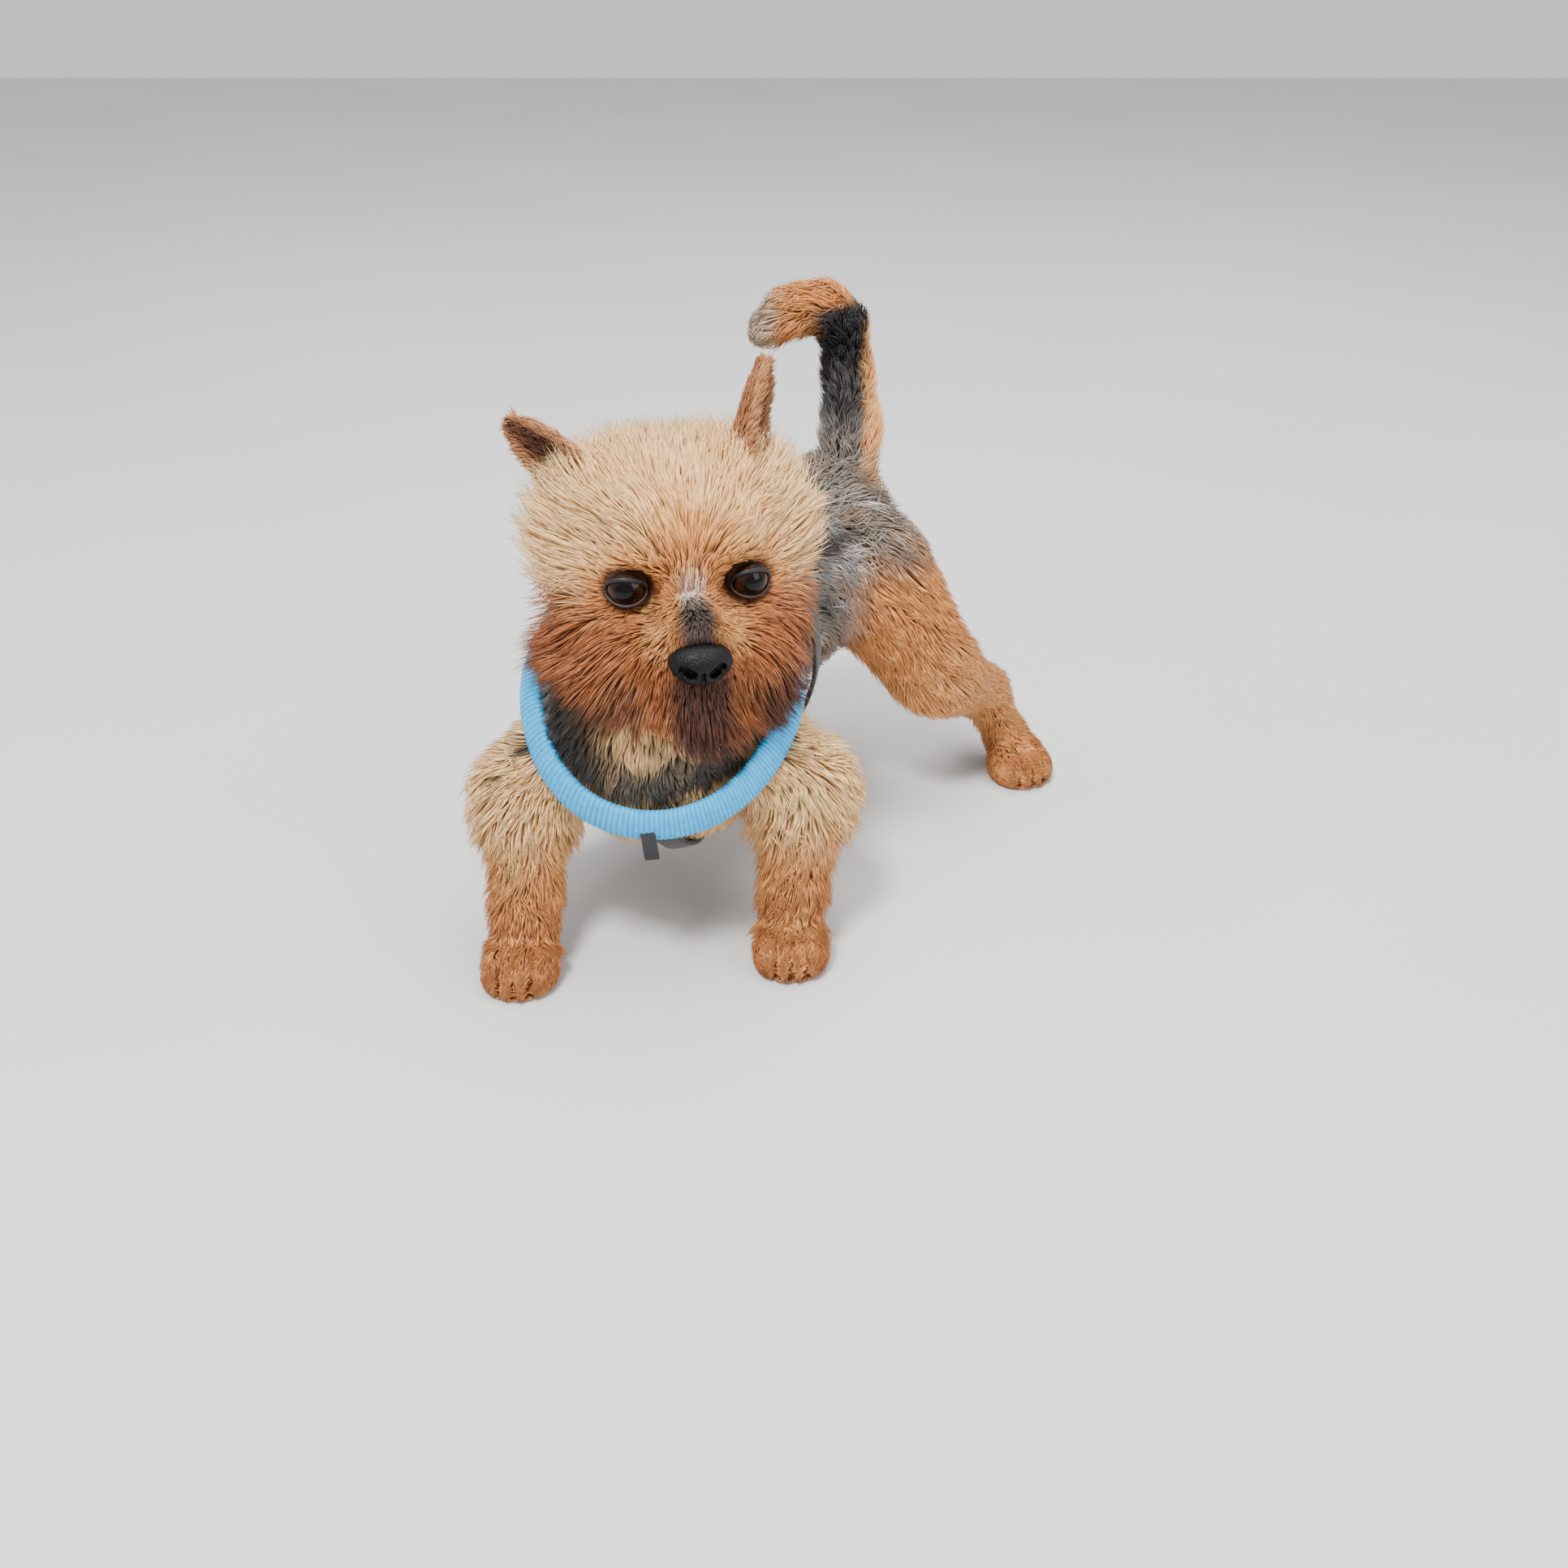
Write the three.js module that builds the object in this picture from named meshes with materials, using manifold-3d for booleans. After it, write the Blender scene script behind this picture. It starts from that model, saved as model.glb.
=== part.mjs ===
// A life-size Yorkshire terrier in a clipped coat, as a still model. It stands low in front with its elbows out,
// looks ahead with its head up, holds its tail high with the end bent over, and wears a padded harness.
// Millimetres, +Z up. The dog looks towards -Y and its left side is towards +X. The origin is on the floor, under the
// middle of the whole model. Each node of flesh is a core that reaches less than half way out through the coat, and
// flat, tapered locks that grow from the core, bend along the lie of the coat and reach its real outline.
import * as THREE from "three";
import { mergeVertices } from "three/addons/utils/BufferGeometryUtils.js";
import Module from "manifold-3d";

const wasm = await Module();
wasm.setup();

// Driving sizes
const EYE_SPACING = 46;
const EYE_RADIUS = 8;
const EAR_LENGTH = 44;
const EAR_WIDTH = 27;
const NOSE_WIDTH = 24;
const SEAM = 0.3;
const GROWTH = 0.4;
const CORE_SHARE = 0.45;
const BLEND = 10;
const SHIFT = new THREE.Vector3(-5, 1.5, 0);

const vec = (x, y, z) => new THREE.Vector3(x, y, z).add(SHIFT);
const free = (x, y, z) => new THREE.Vector3(x, y, z);
const { lerp, clamp, smoothstep, degToRad } = THREE.MathUtils;
const turnAbout = (axis, degrees) =>
  new THREE.Quaternion().setFromAxisAngle(axis, degToRad(degrees));
const UP = free(0, 0, 1);
const SIDES = { left: 1, right: -1 };

// The head's own frame: x to the dog's left, y to the back of the skull, z up, from the midpoint between the eyes
const EYE_MIDPOINT = vec(-31, -64.5, 152);
const HEAD_TURN = turnAbout(UP, 10.7).multiply(turnAbout(free(1, 0, 0), 2.4));
const HEAD_BACK = HEAD_TURN.clone().invert();
const onHead = (x, y, z) =>
  free(x, y, z).applyQuaternion(HEAD_TURN).add(EYE_MIDPOINT);
const inHead = (p) => p.clone().sub(EYE_MIDPOINT).applyQuaternion(HEAD_BACK);

// Places of the joints
const TRUNK_YAW = { chest: 8, ribs: 20, loin: 30, hips: 35 };
const backwards = (degrees) =>
  free(Math.sin(degToRad(degrees)), Math.cos(degToRad(degrees)), 0);
const FORELEG = {
  left: {
    shoulder: vec(-17, -56, 88),
    elbow: vec(13, -62, 62),
    wrist: vec(8, -84, 20),
    toes: vec(8, -96, 8),
  },
  right: {
    shoulder: vec(-72, -55, 88),
    elbow: vec(-99, -67, 62),
    wrist: vec(-99, -96, 20),
    toes: vec(-100, -108, 8),
  },
};
const HINDLEG = {
  left: {
    hip: vec(43, 62, 104),
    knee: vec(76, 45, 62),
    hock: vec(104, 80, 34),
    pastern: vec(116, 68, 13),
    toes: vec(120, 57, 8),
  },
  right: {
    hip: vec(-1, 89, 104),
    knee: vec(-26, 62, 64),
    hock: vec(-38, 100, 36),
    pastern: vec(-40, 86, 13),
    toes: vec(-42, 74, 8),
  },
};
const TAIL = [
  { at: vec(33, 86, 140), radius: 9, coat: 11 },
  { at: vec(36, 93, 165), radius: 6, coat: 9 },
  { at: vec(34, 94, 190), radius: 5, coat: 7.5 },
  { at: vec(31, 91, 211), radius: 5, coat: 6.5 },
  { at: vec(21, 85, 221), radius: 4.8, coat: 6.5 },
  { at: vec(7, 79, 219), radius: 4.5, coat: 6.5 },
  { at: vec(-2, 75, 213), radius: 4, coat: 6.5 },
];

// Flesh is a list of balls and tapered limbs, each with the depth of its coat and the way its hair lies
const flesh = [];

function ball(group, centre, semi, turn, coat, lie) {
  const back = turn.clone().invert();
  const q = free(0, 0, 0);
  const distance = (p) => {
    q.copy(p).sub(centre).applyQuaternion(back);
    const near = Math.hypot(q.x / semi.x, q.y / semi.y, q.z / semi.z);
    const slope = Math.hypot(
      q.x / semi.x ** 2,
      q.y / semi.y ** 2,
      q.z / semi.z ** 2,
    );
    return slope < 1e-6
      ? -Math.min(semi.x, semi.y, semi.z)
      : (near * (near - 1)) / slope;
  };
  flesh.push({ group, distance, coat, lie });
}

function limb(group, from, to, fromRadius, toRadius, coat, lie) {
  const along = to.clone().sub(from);
  const reach = along.lengthSq();
  const q = free(0, 0, 0);
  const distance = (p) => {
    const share = clamp(q.copy(p).sub(from).dot(along) / reach, 0, 1);
    q.addScaledVector(along, -share);
    return q.length() - lerp(fromRadius, toRadius, share);
  };
  const direction = along.clone().normalize();
  flesh.push({ group, distance, coat, lie: lie || (() => direction) });
}

// Hair on the head spreads from the stop between the eyes, and hangs down over the muzzle and the jaw
const STOP = free(0, -8, -6);
function headLie(p) {
  const q = inHead(p);
  const spread = q.clone().sub(STOP);
  const hang = smoothstep(-q.z, 2, 26);
  spread.z -= hang * 1.3 * spread.length();
  return spread.normalize().applyQuaternion(HEAD_TURN);
}

// Head and lower jaw
const onHeadBall = (x, y, z, semi, coat) =>
  ball("head", onHead(x, y, z), semi, HEAD_TURN, coat, headLie);
onHeadBall(0, 34, 4, free(32, 37, 28), 15);
limb("head", onHead(0, 2, -6), onHead(0, -24, -13), 10, 8.5, 2.5, headLie);
limb("head", onHead(0, 4, -14), onHead(0, -19, -19), 16, 10.5, 6, headLie);
onHeadBall(0, -24, -17.5, free(10.5, 7, 8), 0.8);
for (const side of Object.values(SIDES)) {
  onHeadBall(side * 15, 9, 12, free(13, 12, 11), 9);
  onHeadBall(side * 20, 36, 4, free(16, 22, 22), 25);
  onHeadBall(side * 21, 24, -13, free(15, 20, 18), 21);
  onHeadBall(side * 7, -17, -23, free(8, 12, 8), 11);
  onHeadBall((side * EYE_SPACING) / 2, 8, 0, free(10.5, 9, 9.5), 2);
}
limb("jaw", onHead(0, 16, -30), onHead(0, -15, -31), 12, 7, 14, headLie);

// Neck and trunk
const down = (x, y) => {
  const lie = free(x, y, -1).normalize();
  return () => lie;
};
const rearwards = (yaw, fall) => {
  const lie = backwards(yaw);
  lie.z = -fall;
  lie.normalize();
  return () => lie;
};
const trunkBall = (centre, semi, yaw, coat, lie) =>
  ball("trunk", centre, semi, turnAbout(UP, -yaw), coat, lie);
limb("trunk", vec(-40, -18, 134), vec(-42, -45, 102), 31, 40, 16, down(0, 0.2));
trunkBall(vec(-44, -46, 88), free(43, 49, 45), TRUNK_YAW.chest, 14, down(0, 0));
trunkBall(
  vec(-29, -2, 95),
  free(40, 50, 45),
  TRUNK_YAW.ribs,
  12,
  rearwards(TRUNK_YAW.ribs, 0.8),
);
trunkBall(
  vec(-3, 42, 104),
  free(32, 46, 37),
  TRUNK_YAW.loin,
  11,
  rearwards(TRUNK_YAW.loin, 0.8),
);
trunkBall(
  vec(20, 74, 116),
  free(33, 32, 32),
  TRUNK_YAW.hips,
  10,
  rearwards(TRUNK_YAW.hips, 1.1),
);

// Where a paw's four toes lie, and which way they point
function toePlaces(from, to) {
  const ahead = free(to.x - from.x, to.y - from.y, 0).normalize();
  const across = ahead.clone().cross(UP);
  const turn = new THREE.Quaternion().setFromUnitVectors(free(0, 1, 0), ahead);
  return [-1.5, -0.5, 0.5, 1.5].map((step) => {
    const at = to
      .clone()
      .addScaledVector(across, step * 5.2)
      .addScaledVector(ahead, Math.abs(step) < 1 ? 6 : 3);
    at.z = 5.5;
    return { at, turn, ahead };
  });
}

// Legs and paws
function pawFlesh(group, from, to, fromRadius) {
  limb(group, from, to, fromRadius, 8.5, 2.5);
  for (const toe of toePlaces(from, to)) {
    ball(group, toe.at, free(4.6, 7, 5.2), toe.turn, 1.5, () => toe.ahead);
  }
}
for (const [side, out] of Object.entries(SIDES)) {
  const fore = FORELEG[side];
  const fringe = free(0.9 * out, 0.3, -0.8).normalize();
  limb(`foreleg_${side}`, fore.shoulder, fore.elbow, 19, 13, 13, () => fringe);
  limb(`foreleg_${side}`, fore.elbow, fore.wrist, 12, 7.5, 9);
  pawFlesh(`forepaw_${side}`, fore.wrist, fore.toes, 7.5);
  const hind = HINDLEG[side];
  limb(`hindleg_${side}`, hind.hip, hind.knee, 25, 14, 10);
  limb(`hindleg_${side}`, hind.knee, hind.hock, 13, 7, 8);
  limb(`hindleg_${side}`, hind.hock, hind.pastern, 7, 7, 4);
  pawFlesh(`hindpaw_${side}`, hind.pastern, hind.toes, 7.5);
}

// Tail
TAIL.slice(1).forEach((end, i) => {
  const start = TAIL[i];
  limb("tail", start.at, end.at, start.radius, end.radius, end.coat);
});

// Distance to the skin, by group or of the whole dog, and the coat's depth and lie at a point
function smoothLeast(a, b) {
  const near = Math.max(BLEND - Math.abs(a - b), 0) / BLEND;
  return Math.min(a, b) - (near * near * BLEND) / 4;
}

const skinOf = (parts) => (p) =>
  parts.reduce((least, part) => smoothLeast(least, part.distance(p)), 1e3);
const groupSkin = (group) => skinOf(flesh.filter((f) => f.group === group));
const skin = skinOf(flesh);

function shares(p) {
  const reach = flesh.map((part) => part.distance(p));
  const nearest = Math.min(...reach);
  const weights = reach.map((d) => Math.exp((nearest - d) / 5));
  const total = weights.reduce((sum, w) => sum + w, 0);
  return weights.map((w) => w / total);
}

const coatDepth = (p) =>
  shares(p).reduce((sum, w, i) => sum + w * flesh[i].coat, 0);

function coatLie(p) {
  const lie = free(0, 0, 0);
  shares(p).forEach((w, i) => {
    if (w > 0.02) lie.addScaledVector(flesh[i].lie(p), w);
  });
  return lie;
}

function slopeOf(field, p, step = 0.5) {
  const at = (x, y, z) => field(free(p.x + x, p.y + y, p.z + z));
  return free(
    at(step, 0, 0) - at(-step, 0, 0),
    at(0, step, 0) - at(0, -step, 0),
    at(0, 0, step) - at(0, 0, -step),
  ).divideScalar(2 * step);
}

// Move a point along a field's slope until the field has the wanted value there
function settle(field, p, level = () => 0, rounds = 4) {
  for (let round = 0; round < rounds; round += 1) {
    const slope = slopeOf(field, p);
    const miss = field(p) - level(p);
    p.addScaledVector(slope, -miss / Math.max(slope.lengthSq(), 0.3));
  }
  return p;
}

// Solids
function solidOf(positions, triangles) {
  return new wasm.Manifold(
    new wasm.Mesh({
      numProp: 3,
      vertProperties: new Float32Array(positions),
      triVerts: new Uint32Array(triangles),
    }),
  );
}

// A solid whose faces may all point in, turned the right way out
function outwards(positions, triangles) {
  const made = solidOf(positions, triangles);
  if (made.volume() > 0) return made;
  const flipped = triangles.map((_, i) => triangles[i - (i % 3) + 2 - (i % 3)]);
  return solidOf(positions, flipped);
}

// A closed three.js geometry, placed and stretched, as a solid
function placed(
  geometry,
  position,
  turn = new THREE.Quaternion(),
  stretch = free(1, 1, 1),
) {
  const bare = geometry
    .clone()
    .deleteAttribute("normal")
    .deleteAttribute("uv")
    .applyMatrix4(new THREE.Matrix4().compose(position, turn, stretch));
  const merged = mergeVertices(bare, 1e-3);
  return outwards(merged.attributes.position.array, [...merged.index.array]);
}

// A closed mesh of the surface where a field is zero: one vertex in each lattice cell that the surface crosses. Where
// the lattice falls so that two folds share a cell there is no such mesh, and it gives null
function latticeSolid(field, box, cell) {
  const low = box.min;
  const size = ["x", "y", "z"].map((k) =>
    Math.ceil((box.max[k] - low[k]) / cell),
  );
  const stride = [1, size[0] + 1, (size[0] + 1) * (size[1] + 1)];
  const at = (i, j, k) => i + j * stride[1] + k * stride[2];
  const place = (i, j, k) =>
    free(low.x + i * cell, low.y + j * cell, low.z + k * cell);
  const values = new Float64Array(stride[2] * (size[2] + 1));
  for (let k = 0; k <= size[2]; k += 1)
    for (let j = 0; j <= size[1]; j += 1)
      for (let i = 0; i <= size[0]; i += 1)
        values[at(i, j, k)] = field(place(i, j, k));

  const positions = [];
  const vertexOf = new Map();
  const corners = [0, 1, 2, 3, 4, 5, 6, 7].map((c) => [
    c & 1,
    (c >> 1) & 1,
    c >> 2,
  ]);
  for (let k = 0; k < size[2]; k += 1)
    for (let j = 0; j < size[1]; j += 1)
      for (let i = 0; i < size[0]; i += 1) {
        const middle = free(0, 0, 0);
        let crossings = 0;
        for (const [a, b, c] of corners)
          for (let axis = 0; axis < 3; axis += 1) {
            const other = [a, b, c];
            if (other[axis] === 1) continue;
            other[axis] = 1;
            const start = values[at(i + a, j + b, k + c)];
            const end = values[at(i + other[0], j + other[1], k + other[2])];
            if (start < 0 === end < 0) continue;
            const from = place(i + a, j + b, k + c);
            const to = place(i + other[0], j + other[1], k + other[2]);
            middle.add(from.lerp(to, start / (start - end)));
            crossings += 1;
          }
        if (!crossings) continue;
        middle.divideScalar(crossings);
        const slope = slopeOf(field, middle);
        const miss = field(middle) / Math.max(slope.lengthSq(), 0.25);
        middle.addScaledVector(slope, -clamp(miss, -cell / 3, cell / 3));
        vertexOf.set(at(i, j, k), positions.length / 3);
        positions.push(middle.x, middle.y, middle.z);
      }

  const triangles = [];
  for (let k = 1; k < size[2]; k += 1)
    for (let j = 1; j < size[1]; j += 1)
      for (let i = 1; i < size[0]; i += 1)
        for (let axis = 0; axis < 3; axis += 1) {
          const here = at(i, j, k);
          const inside = values[here] < 0;
          if (inside === values[here + stride[axis]] < 0) continue;
          const b = stride[(axis + 1) % 3];
          const c = stride[(axis + 2) % 3];
          const ring = [here - b - c, here - c, here, here - b].map((n) =>
            vertexOf.get(n),
          );
          if (!inside) ring.reverse();
          triangles.push(ring[0], ring[1], ring[2], ring[0], ring[2], ring[3]);
        }
  try {
    return solidOf(positions, triangles);
  } catch {
    return null;
  }
}

// A solid with each vertex moved out along its normal
function grown(solid, by) {
  const mesh = solid.getMesh();
  const geometry = new THREE.BufferGeometry();
  const positions = new Float32Array(mesh.numVert * 3);
  for (let v = 0; v < mesh.numVert; v += 1)
    for (let axis = 0; axis < 3; axis += 1)
      positions[v * 3 + axis] = mesh.vertProperties[v * mesh.numProp + axis];
  geometry.setAttribute("position", new THREE.BufferAttribute(positions, 3));
  geometry.setIndex(new THREE.BufferAttribute(mesh.triVerts, 1));
  geometry.computeVertexNormals();
  const normals = geometry.attributes.normal.array;
  const moved = positions.map((x, n) => x + by * normals[n]);
  return solidOf(moved, mesh.triVerts);
}

// The largest closed surface of a solid
const largest = (solid) =>
  solid
    .decompose()
    .reduce((most, piece) => (piece.volume() > most.volume() ? piece : most));

// The two parts of a solid on either side of a plane, with a seam between them: the first lies ahead of the plane
function partAt(solid, point, normal) {
  const n = normal.clone().normalize();
  const offset = point.dot(n);
  return [
    solid.trimByPlane(n.toArray(), offset + SEAM / 2),
    solid.trimByPlane(n.clone().negate().toArray(), -offset + SEAM / 2),
  ];
}

// The plane that halves the bend at a joint
const bendAt = (before, joint, after) =>
  joint
    .clone()
    .sub(before)
    .normalize()
    .add(after.clone().sub(joint).normalize());

function boxesMeet(a, b) {
  const boxA = a.boundingBox();
  const boxB = b.boundingBox();
  return [0, 1, 2].every(
    (k) => boxA.min[k] < boxB.max[k] && boxB.min[k] < boxA.max[k],
  );
}

const lessAll = (solid, others) =>
  others
    .filter((other) => boxesMeet(solid, other))
    .reduce((left, other) => left.subtract(other), solid);

// Distance to the nearest of the clear spaces before the eyes and the nose, where there is no hair
const EYE_DEPTH = 3.5;
const CLEARINGS = [
  { at: free(EYE_SPACING / 2 + 0.5, -8, 0), semi: free(9.5, 12, 8) },
  { at: free(0, -44, -16.5), semi: free(13, 17, 9.5) },
];
function inClearing(p) {
  const q = inHead(p);
  q.x = Math.abs(q.x);
  const reach = CLEARINGS.map(
    ({ at, semi }) => (q.clone().sub(at).divide(semi).length() - 1) * semi.z,
  );
  return Math.min(...reach);
}

// A group's core: its skin moved out by a share of the coat, above the floor
const FLOOR = placed(new THREE.BoxGeometry(600, 600, 60), free(0, 0, -30));
const coreField = (group) => {
  const own = groupSkin(group);
  return (p) => {
    const reach = own(p) - CORE_SHARE * coatDepth(p);
    return group === "head" ? -smoothLeast(-reach, inClearing(p)) : reach;
  };
};
const boxRound = (points, margin) =>
  new THREE.Box3().setFromPoints(points).expandByScalar(margin);
const LATTICE_TRIES = 8;
function core(group, points, margin, cell) {
  const box = boxRound(points, margin);
  const nudge = free(0.31, 0.17, 0.23).multiplyScalar(cell);
  for (let round = 0; round < LATTICE_TRIES; round += 1) {
    const solid = latticeSolid(coreField(group), box, cell);
    if (solid) return largest(solid.subtract(FLOOR));
    box.min.sub(nudge);
  }
  throw new Error(`no closed surface for ${group}`);
}

// Eyes, and the rim of the lids round each one
const EYE_SEGMENTS = [14, 9];
const eyeBall = (out, radius) =>
  placed(
    new THREE.SphereGeometry(radius, ...EYE_SEGMENTS),
    onHead((out * EYE_SPACING) / 2, EYE_DEPTH, 0),
    HEAD_TURN,
  );
const lidRim = (out) =>
  placed(
    new THREE.TorusGeometry(EYE_RADIUS - 0.6, 1.9, 4, 14),
    onHead((out * EYE_SPACING) / 2 + out * 0.6, EYE_DEPTH - 4, 0),
    HEAD_TURN.clone()
      .multiply(turnAbout(UP, out * 20))
      .multiply(turnAbout(free(1, 0, 0), 90)),
    free(1.08, 0.86, 1),
  );

// Nose: a rounded pad, wider than it is high, with two comma-shaped nostrils
let nose = placed(
  new THREE.SphereGeometry(1, 16, 9),
  onHead(0, -29.5, -17.5),
  HEAD_TURN,
  free(NOSE_WIDTH / 2, 8.5, 8.2),
);
for (const out of Object.values(SIDES)) {
  const hole = (x, y, z, radius, length, tilt) =>
    placed(
      new THREE.CapsuleGeometry(radius, length, 1, 6),
      onHead(out * x, y, z),
      HEAD_TURN.clone().multiply(turnAbout(free(0, 1, 0), out * tilt)),
    );
  nose = nose
    .subtract(hole(5.6, -36.2, -18.6, 1.8, 3.6, 62))
    .subtract(hole(9.6, -34.6, -20.6, 1.2, 3.4, 20));
}

// Lips: a low roll along each side of the mouth, from under the nose to the corner of the mouth
const UPPER_LIP = -26;
const LOWER_LIP = -30;
function lipRoll(out, height, radius) {
  const line = new THREE.CatmullRomCurve3([
    onHead(out * 0.6, -27.5, height),
    onHead(out * 7, -25.5, height - 1.2),
    onHead(out * 13, -15, height - 1.5),
    onHead(out * 16, -2, height - 0.5),
  ]);
  const section = new THREE.Shape();
  section.absarc(0, 0, radius, 0, 2 * Math.PI);
  return placed(
    new THREE.ExtrudeGeometry(section, {
      steps: 5,
      curveSegments: 3,
      bevelEnabled: false,
      extrudePath: line,
    }),
    free(0, 0, 0),
  );
}

// Ears: a cupped leaf of even thickness, folded back, with its tip bent
const EAR = {
  left: {
    base: onHead(22, 42, 26),
    along: free(0.3, 0.4, 0.86),
    mouth: free(0.85, -0.5, 0.15),
    bend: 3,
  },
  right: {
    base: onHead(-25, 42, 22),
    along: free(-0.6, 0.58, 0.52),
    mouth: free(-0.75, -0.5, 0.42),
    bend: 8,
  },
};
const EAR_ROWS = 7;
const EAR_COLUMNS = 6;
const EAR_THICKNESS = 2.4;
const EAR_ROOT = 9;
function earSolid({ base, along, mouth, bend }) {
  const up = along.clone().normalize().applyQuaternion(HEAD_TURN);
  const front = mouth.clone().applyQuaternion(HEAD_TURN);
  front.addScaledVector(up, -front.dot(up)).normalize();
  const across = up.clone().cross(front);
  const positions = [];
  for (const face of [1, -1])
    for (let row = 0; row <= EAR_ROWS; row += 1)
      for (let column = 0; column <= EAR_COLUMNS; column += 1) {
        const height = row / EAR_ROWS;
        const side = (2 * column) / EAR_COLUMNS - 1;
        const narrow = Math.sqrt(Math.max(1 - height ** 1.7, 0.012));
        const half = (EAR_WIDTH / 2) * narrow * lerp(0.72, 1, clamp(height * 3.5, 0, 1));
        const cup = 0.62 * half * side * side * (1 - 0.45 * height);
        const leaf = (EAR_THICKNESS / 2) * (1 - 0.35 * height) * (1.12 - side ** 4);
        const p = base
          .clone()
          .addScaledVector(up, height * (EAR_LENGTH + EAR_ROOT) - EAR_ROOT)
          .addScaledVector(across, side * half)
          .addScaledVector(front, cup + face * leaf + bend * height ** 3);
        positions.push(p.x, p.y, p.z);
      }
  const columns = EAR_COLUMNS + 1;
  const sheet = columns * (EAR_ROWS + 1);
  const triangles = [];
  const quad = (a, b, c, d) => triangles.push(a, b, c, a, c, d);
  for (let row = 0; row < EAR_ROWS; row += 1) {
    for (let column = 0; column < EAR_COLUMNS; column += 1) {
      const a = row * columns + column;
      const b = a + columns;
      quad(a, b, b + 1, a + 1);
      triangles.push(sheet + a, sheet + b + 1, sheet + b);
      triangles.push(sheet + a, sheet + a + 1, sheet + b + 1);
    }
    const start = row * columns;
    const end = start + EAR_COLUMNS;
    quad(start, sheet + start, sheet + start + columns, start + columns);
    quad(end, end + columns, sheet + end + columns, sheet + end);
  }
  for (let column = 0; column < EAR_COLUMNS; column += 1) {
    const top = EAR_ROWS * columns + column;
    quad(column, column + 1, sheet + column + 1, sheet + column);
    quad(top, sheet + top, sheet + top + 1, top + 1);
  }
  return outwards(positions, triangles);
}

// Harness: a padded ring round the base of the neck, a girth strap behind the elbows and a strap under the chest,
// each lying just above the core of the trunk
const COLLAR = {
  centre: vec(-43, -58, 105),
  side: free(1, 0, 0),
  rise: free(0.09, 0.765, 0.644).normalize(),
  width: 12,
  thickness: 6,
  steps: 26,
};
const GIRTH = {
  centre: vec(-22, 9, 95),
  side: backwards(TRUNK_YAW.ribs).cross(UP),
  rise: UP,
  width: 12,
  thickness: 3,
  steps: 22,
};
const STRAP = { width: 9, thickness: 2.6, steps: 10 };
const BAND_CLEAR = 0.9;
const trunkCore = coreField("trunk");

function ringPath({ centre, side, rise, thickness, steps }) {
  return Array.from({ length: steps }, (_, i) => {
    const angle = (2 * Math.PI * i) / steps;
    const ray = side.clone().multiplyScalar(Math.cos(angle));
    ray.addScaledVector(rise, Math.sin(angle));
    let reach = 90;
    for (let round = 0; round < 30; round += 1) {
      const p = centre.clone().addScaledVector(ray, reach);
      reach -= 0.8 * (trunkCore(p) - thickness / 2 - BAND_CLEAR);
    }
    return centre.clone().addScaledVector(ray, reach);
  });
}

const BAND_SECTION = [
  [-0.5, 0],
  [-0.36, 0.5],
  [0.36, 0.5],
  [0.5, 0],
  [0.36, -0.5],
  [-0.36, -0.5],
];
function band(path, { width, thickness }, closed) {
  const n = BAND_SECTION.length;
  const last = path.length - 1;
  const positions = path.flatMap((p, i) => {
    const before = path[closed ? (i + last) % path.length : Math.max(i - 1, 0)];
    const after = path[closed ? (i + 1) % path.length : Math.min(i + 1, last)];
    const along = after.clone().sub(before).normalize();
    const out = slopeOf(trunkCore, p, 6).normalize();
    out.addScaledVector(along, -out.dot(along)).normalize();
    const across = along.clone().cross(out);
    return BAND_SECTION.flatMap(([u, v]) =>
      p
        .clone()
        .addScaledVector(across, u * width)
        .addScaledVector(out, v * thickness)
        .toArray(),
    );
  });
  const triangles = [];
  for (let i = 0; i < (closed ? path.length : last); i += 1)
    for (let j = 0; j < n; j += 1) {
      const a = i * n + j;
      const b = i * n + ((j + 1) % n);
      const c = ((i + 1) % path.length) * n + ((j + 1) % n);
      const d = ((i + 1) % path.length) * n + j;
      triangles.push(a, b, c, a, c, d);
    }
  if (!closed)
    for (let j = 1; j < n - 1; j += 1) {
      triangles.push(0, j + 1, j);
      triangles.push(last * n, last * n + j, last * n + j + 1);
    }
  return outwards(positions, triangles);
}

const collarPath = ringPath(COLLAR);
const girthPath = ringPath(GIRTH);
const lowest = (path) => path.reduce((low, p) => (p.z < low.z ? p : low));
const strapPath = Array.from({ length: STRAP.steps + 1 }, (_, i) =>
  settle(
    trunkCore,
    lowest(collarPath).clone().lerp(lowest(girthPath), i / STRAP.steps),
    () => STRAP.thickness / 2 + BAND_CLEAR,
  ),
);
const harnessBands = [
  band(collarPath, COLLAR, true),
  band(girthPath, GIRTH, true),
  band(strapPath, STRAP, false),
];
const harnessRoom = harnessBands.map((piece) => grown(piece, GROWTH));
const [collar, girth, breastStrap] = harnessBands.map((piece, i) =>
  largest(lessAll(piece, harnessRoom.slice(0, i))),
);

// Bodies before their locks, each cut clear of what it grows from
const bodies = new Map();
const headCore = core("head", [onHead(0, 20, 0)], 84, 10);
const jawCore = core("jaw", [onHead(0, 0, -32)], 50, 8);
const trunkPoints = [vec(-44, -46, 88), vec(20, 74, 116)];
const trunkSolid = core("trunk", trunkPoints, 84, 17);
const grownHead = grown(headCore, GROWTH);
const grownTrunk = grown(trunkSolid, GROWTH);

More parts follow.
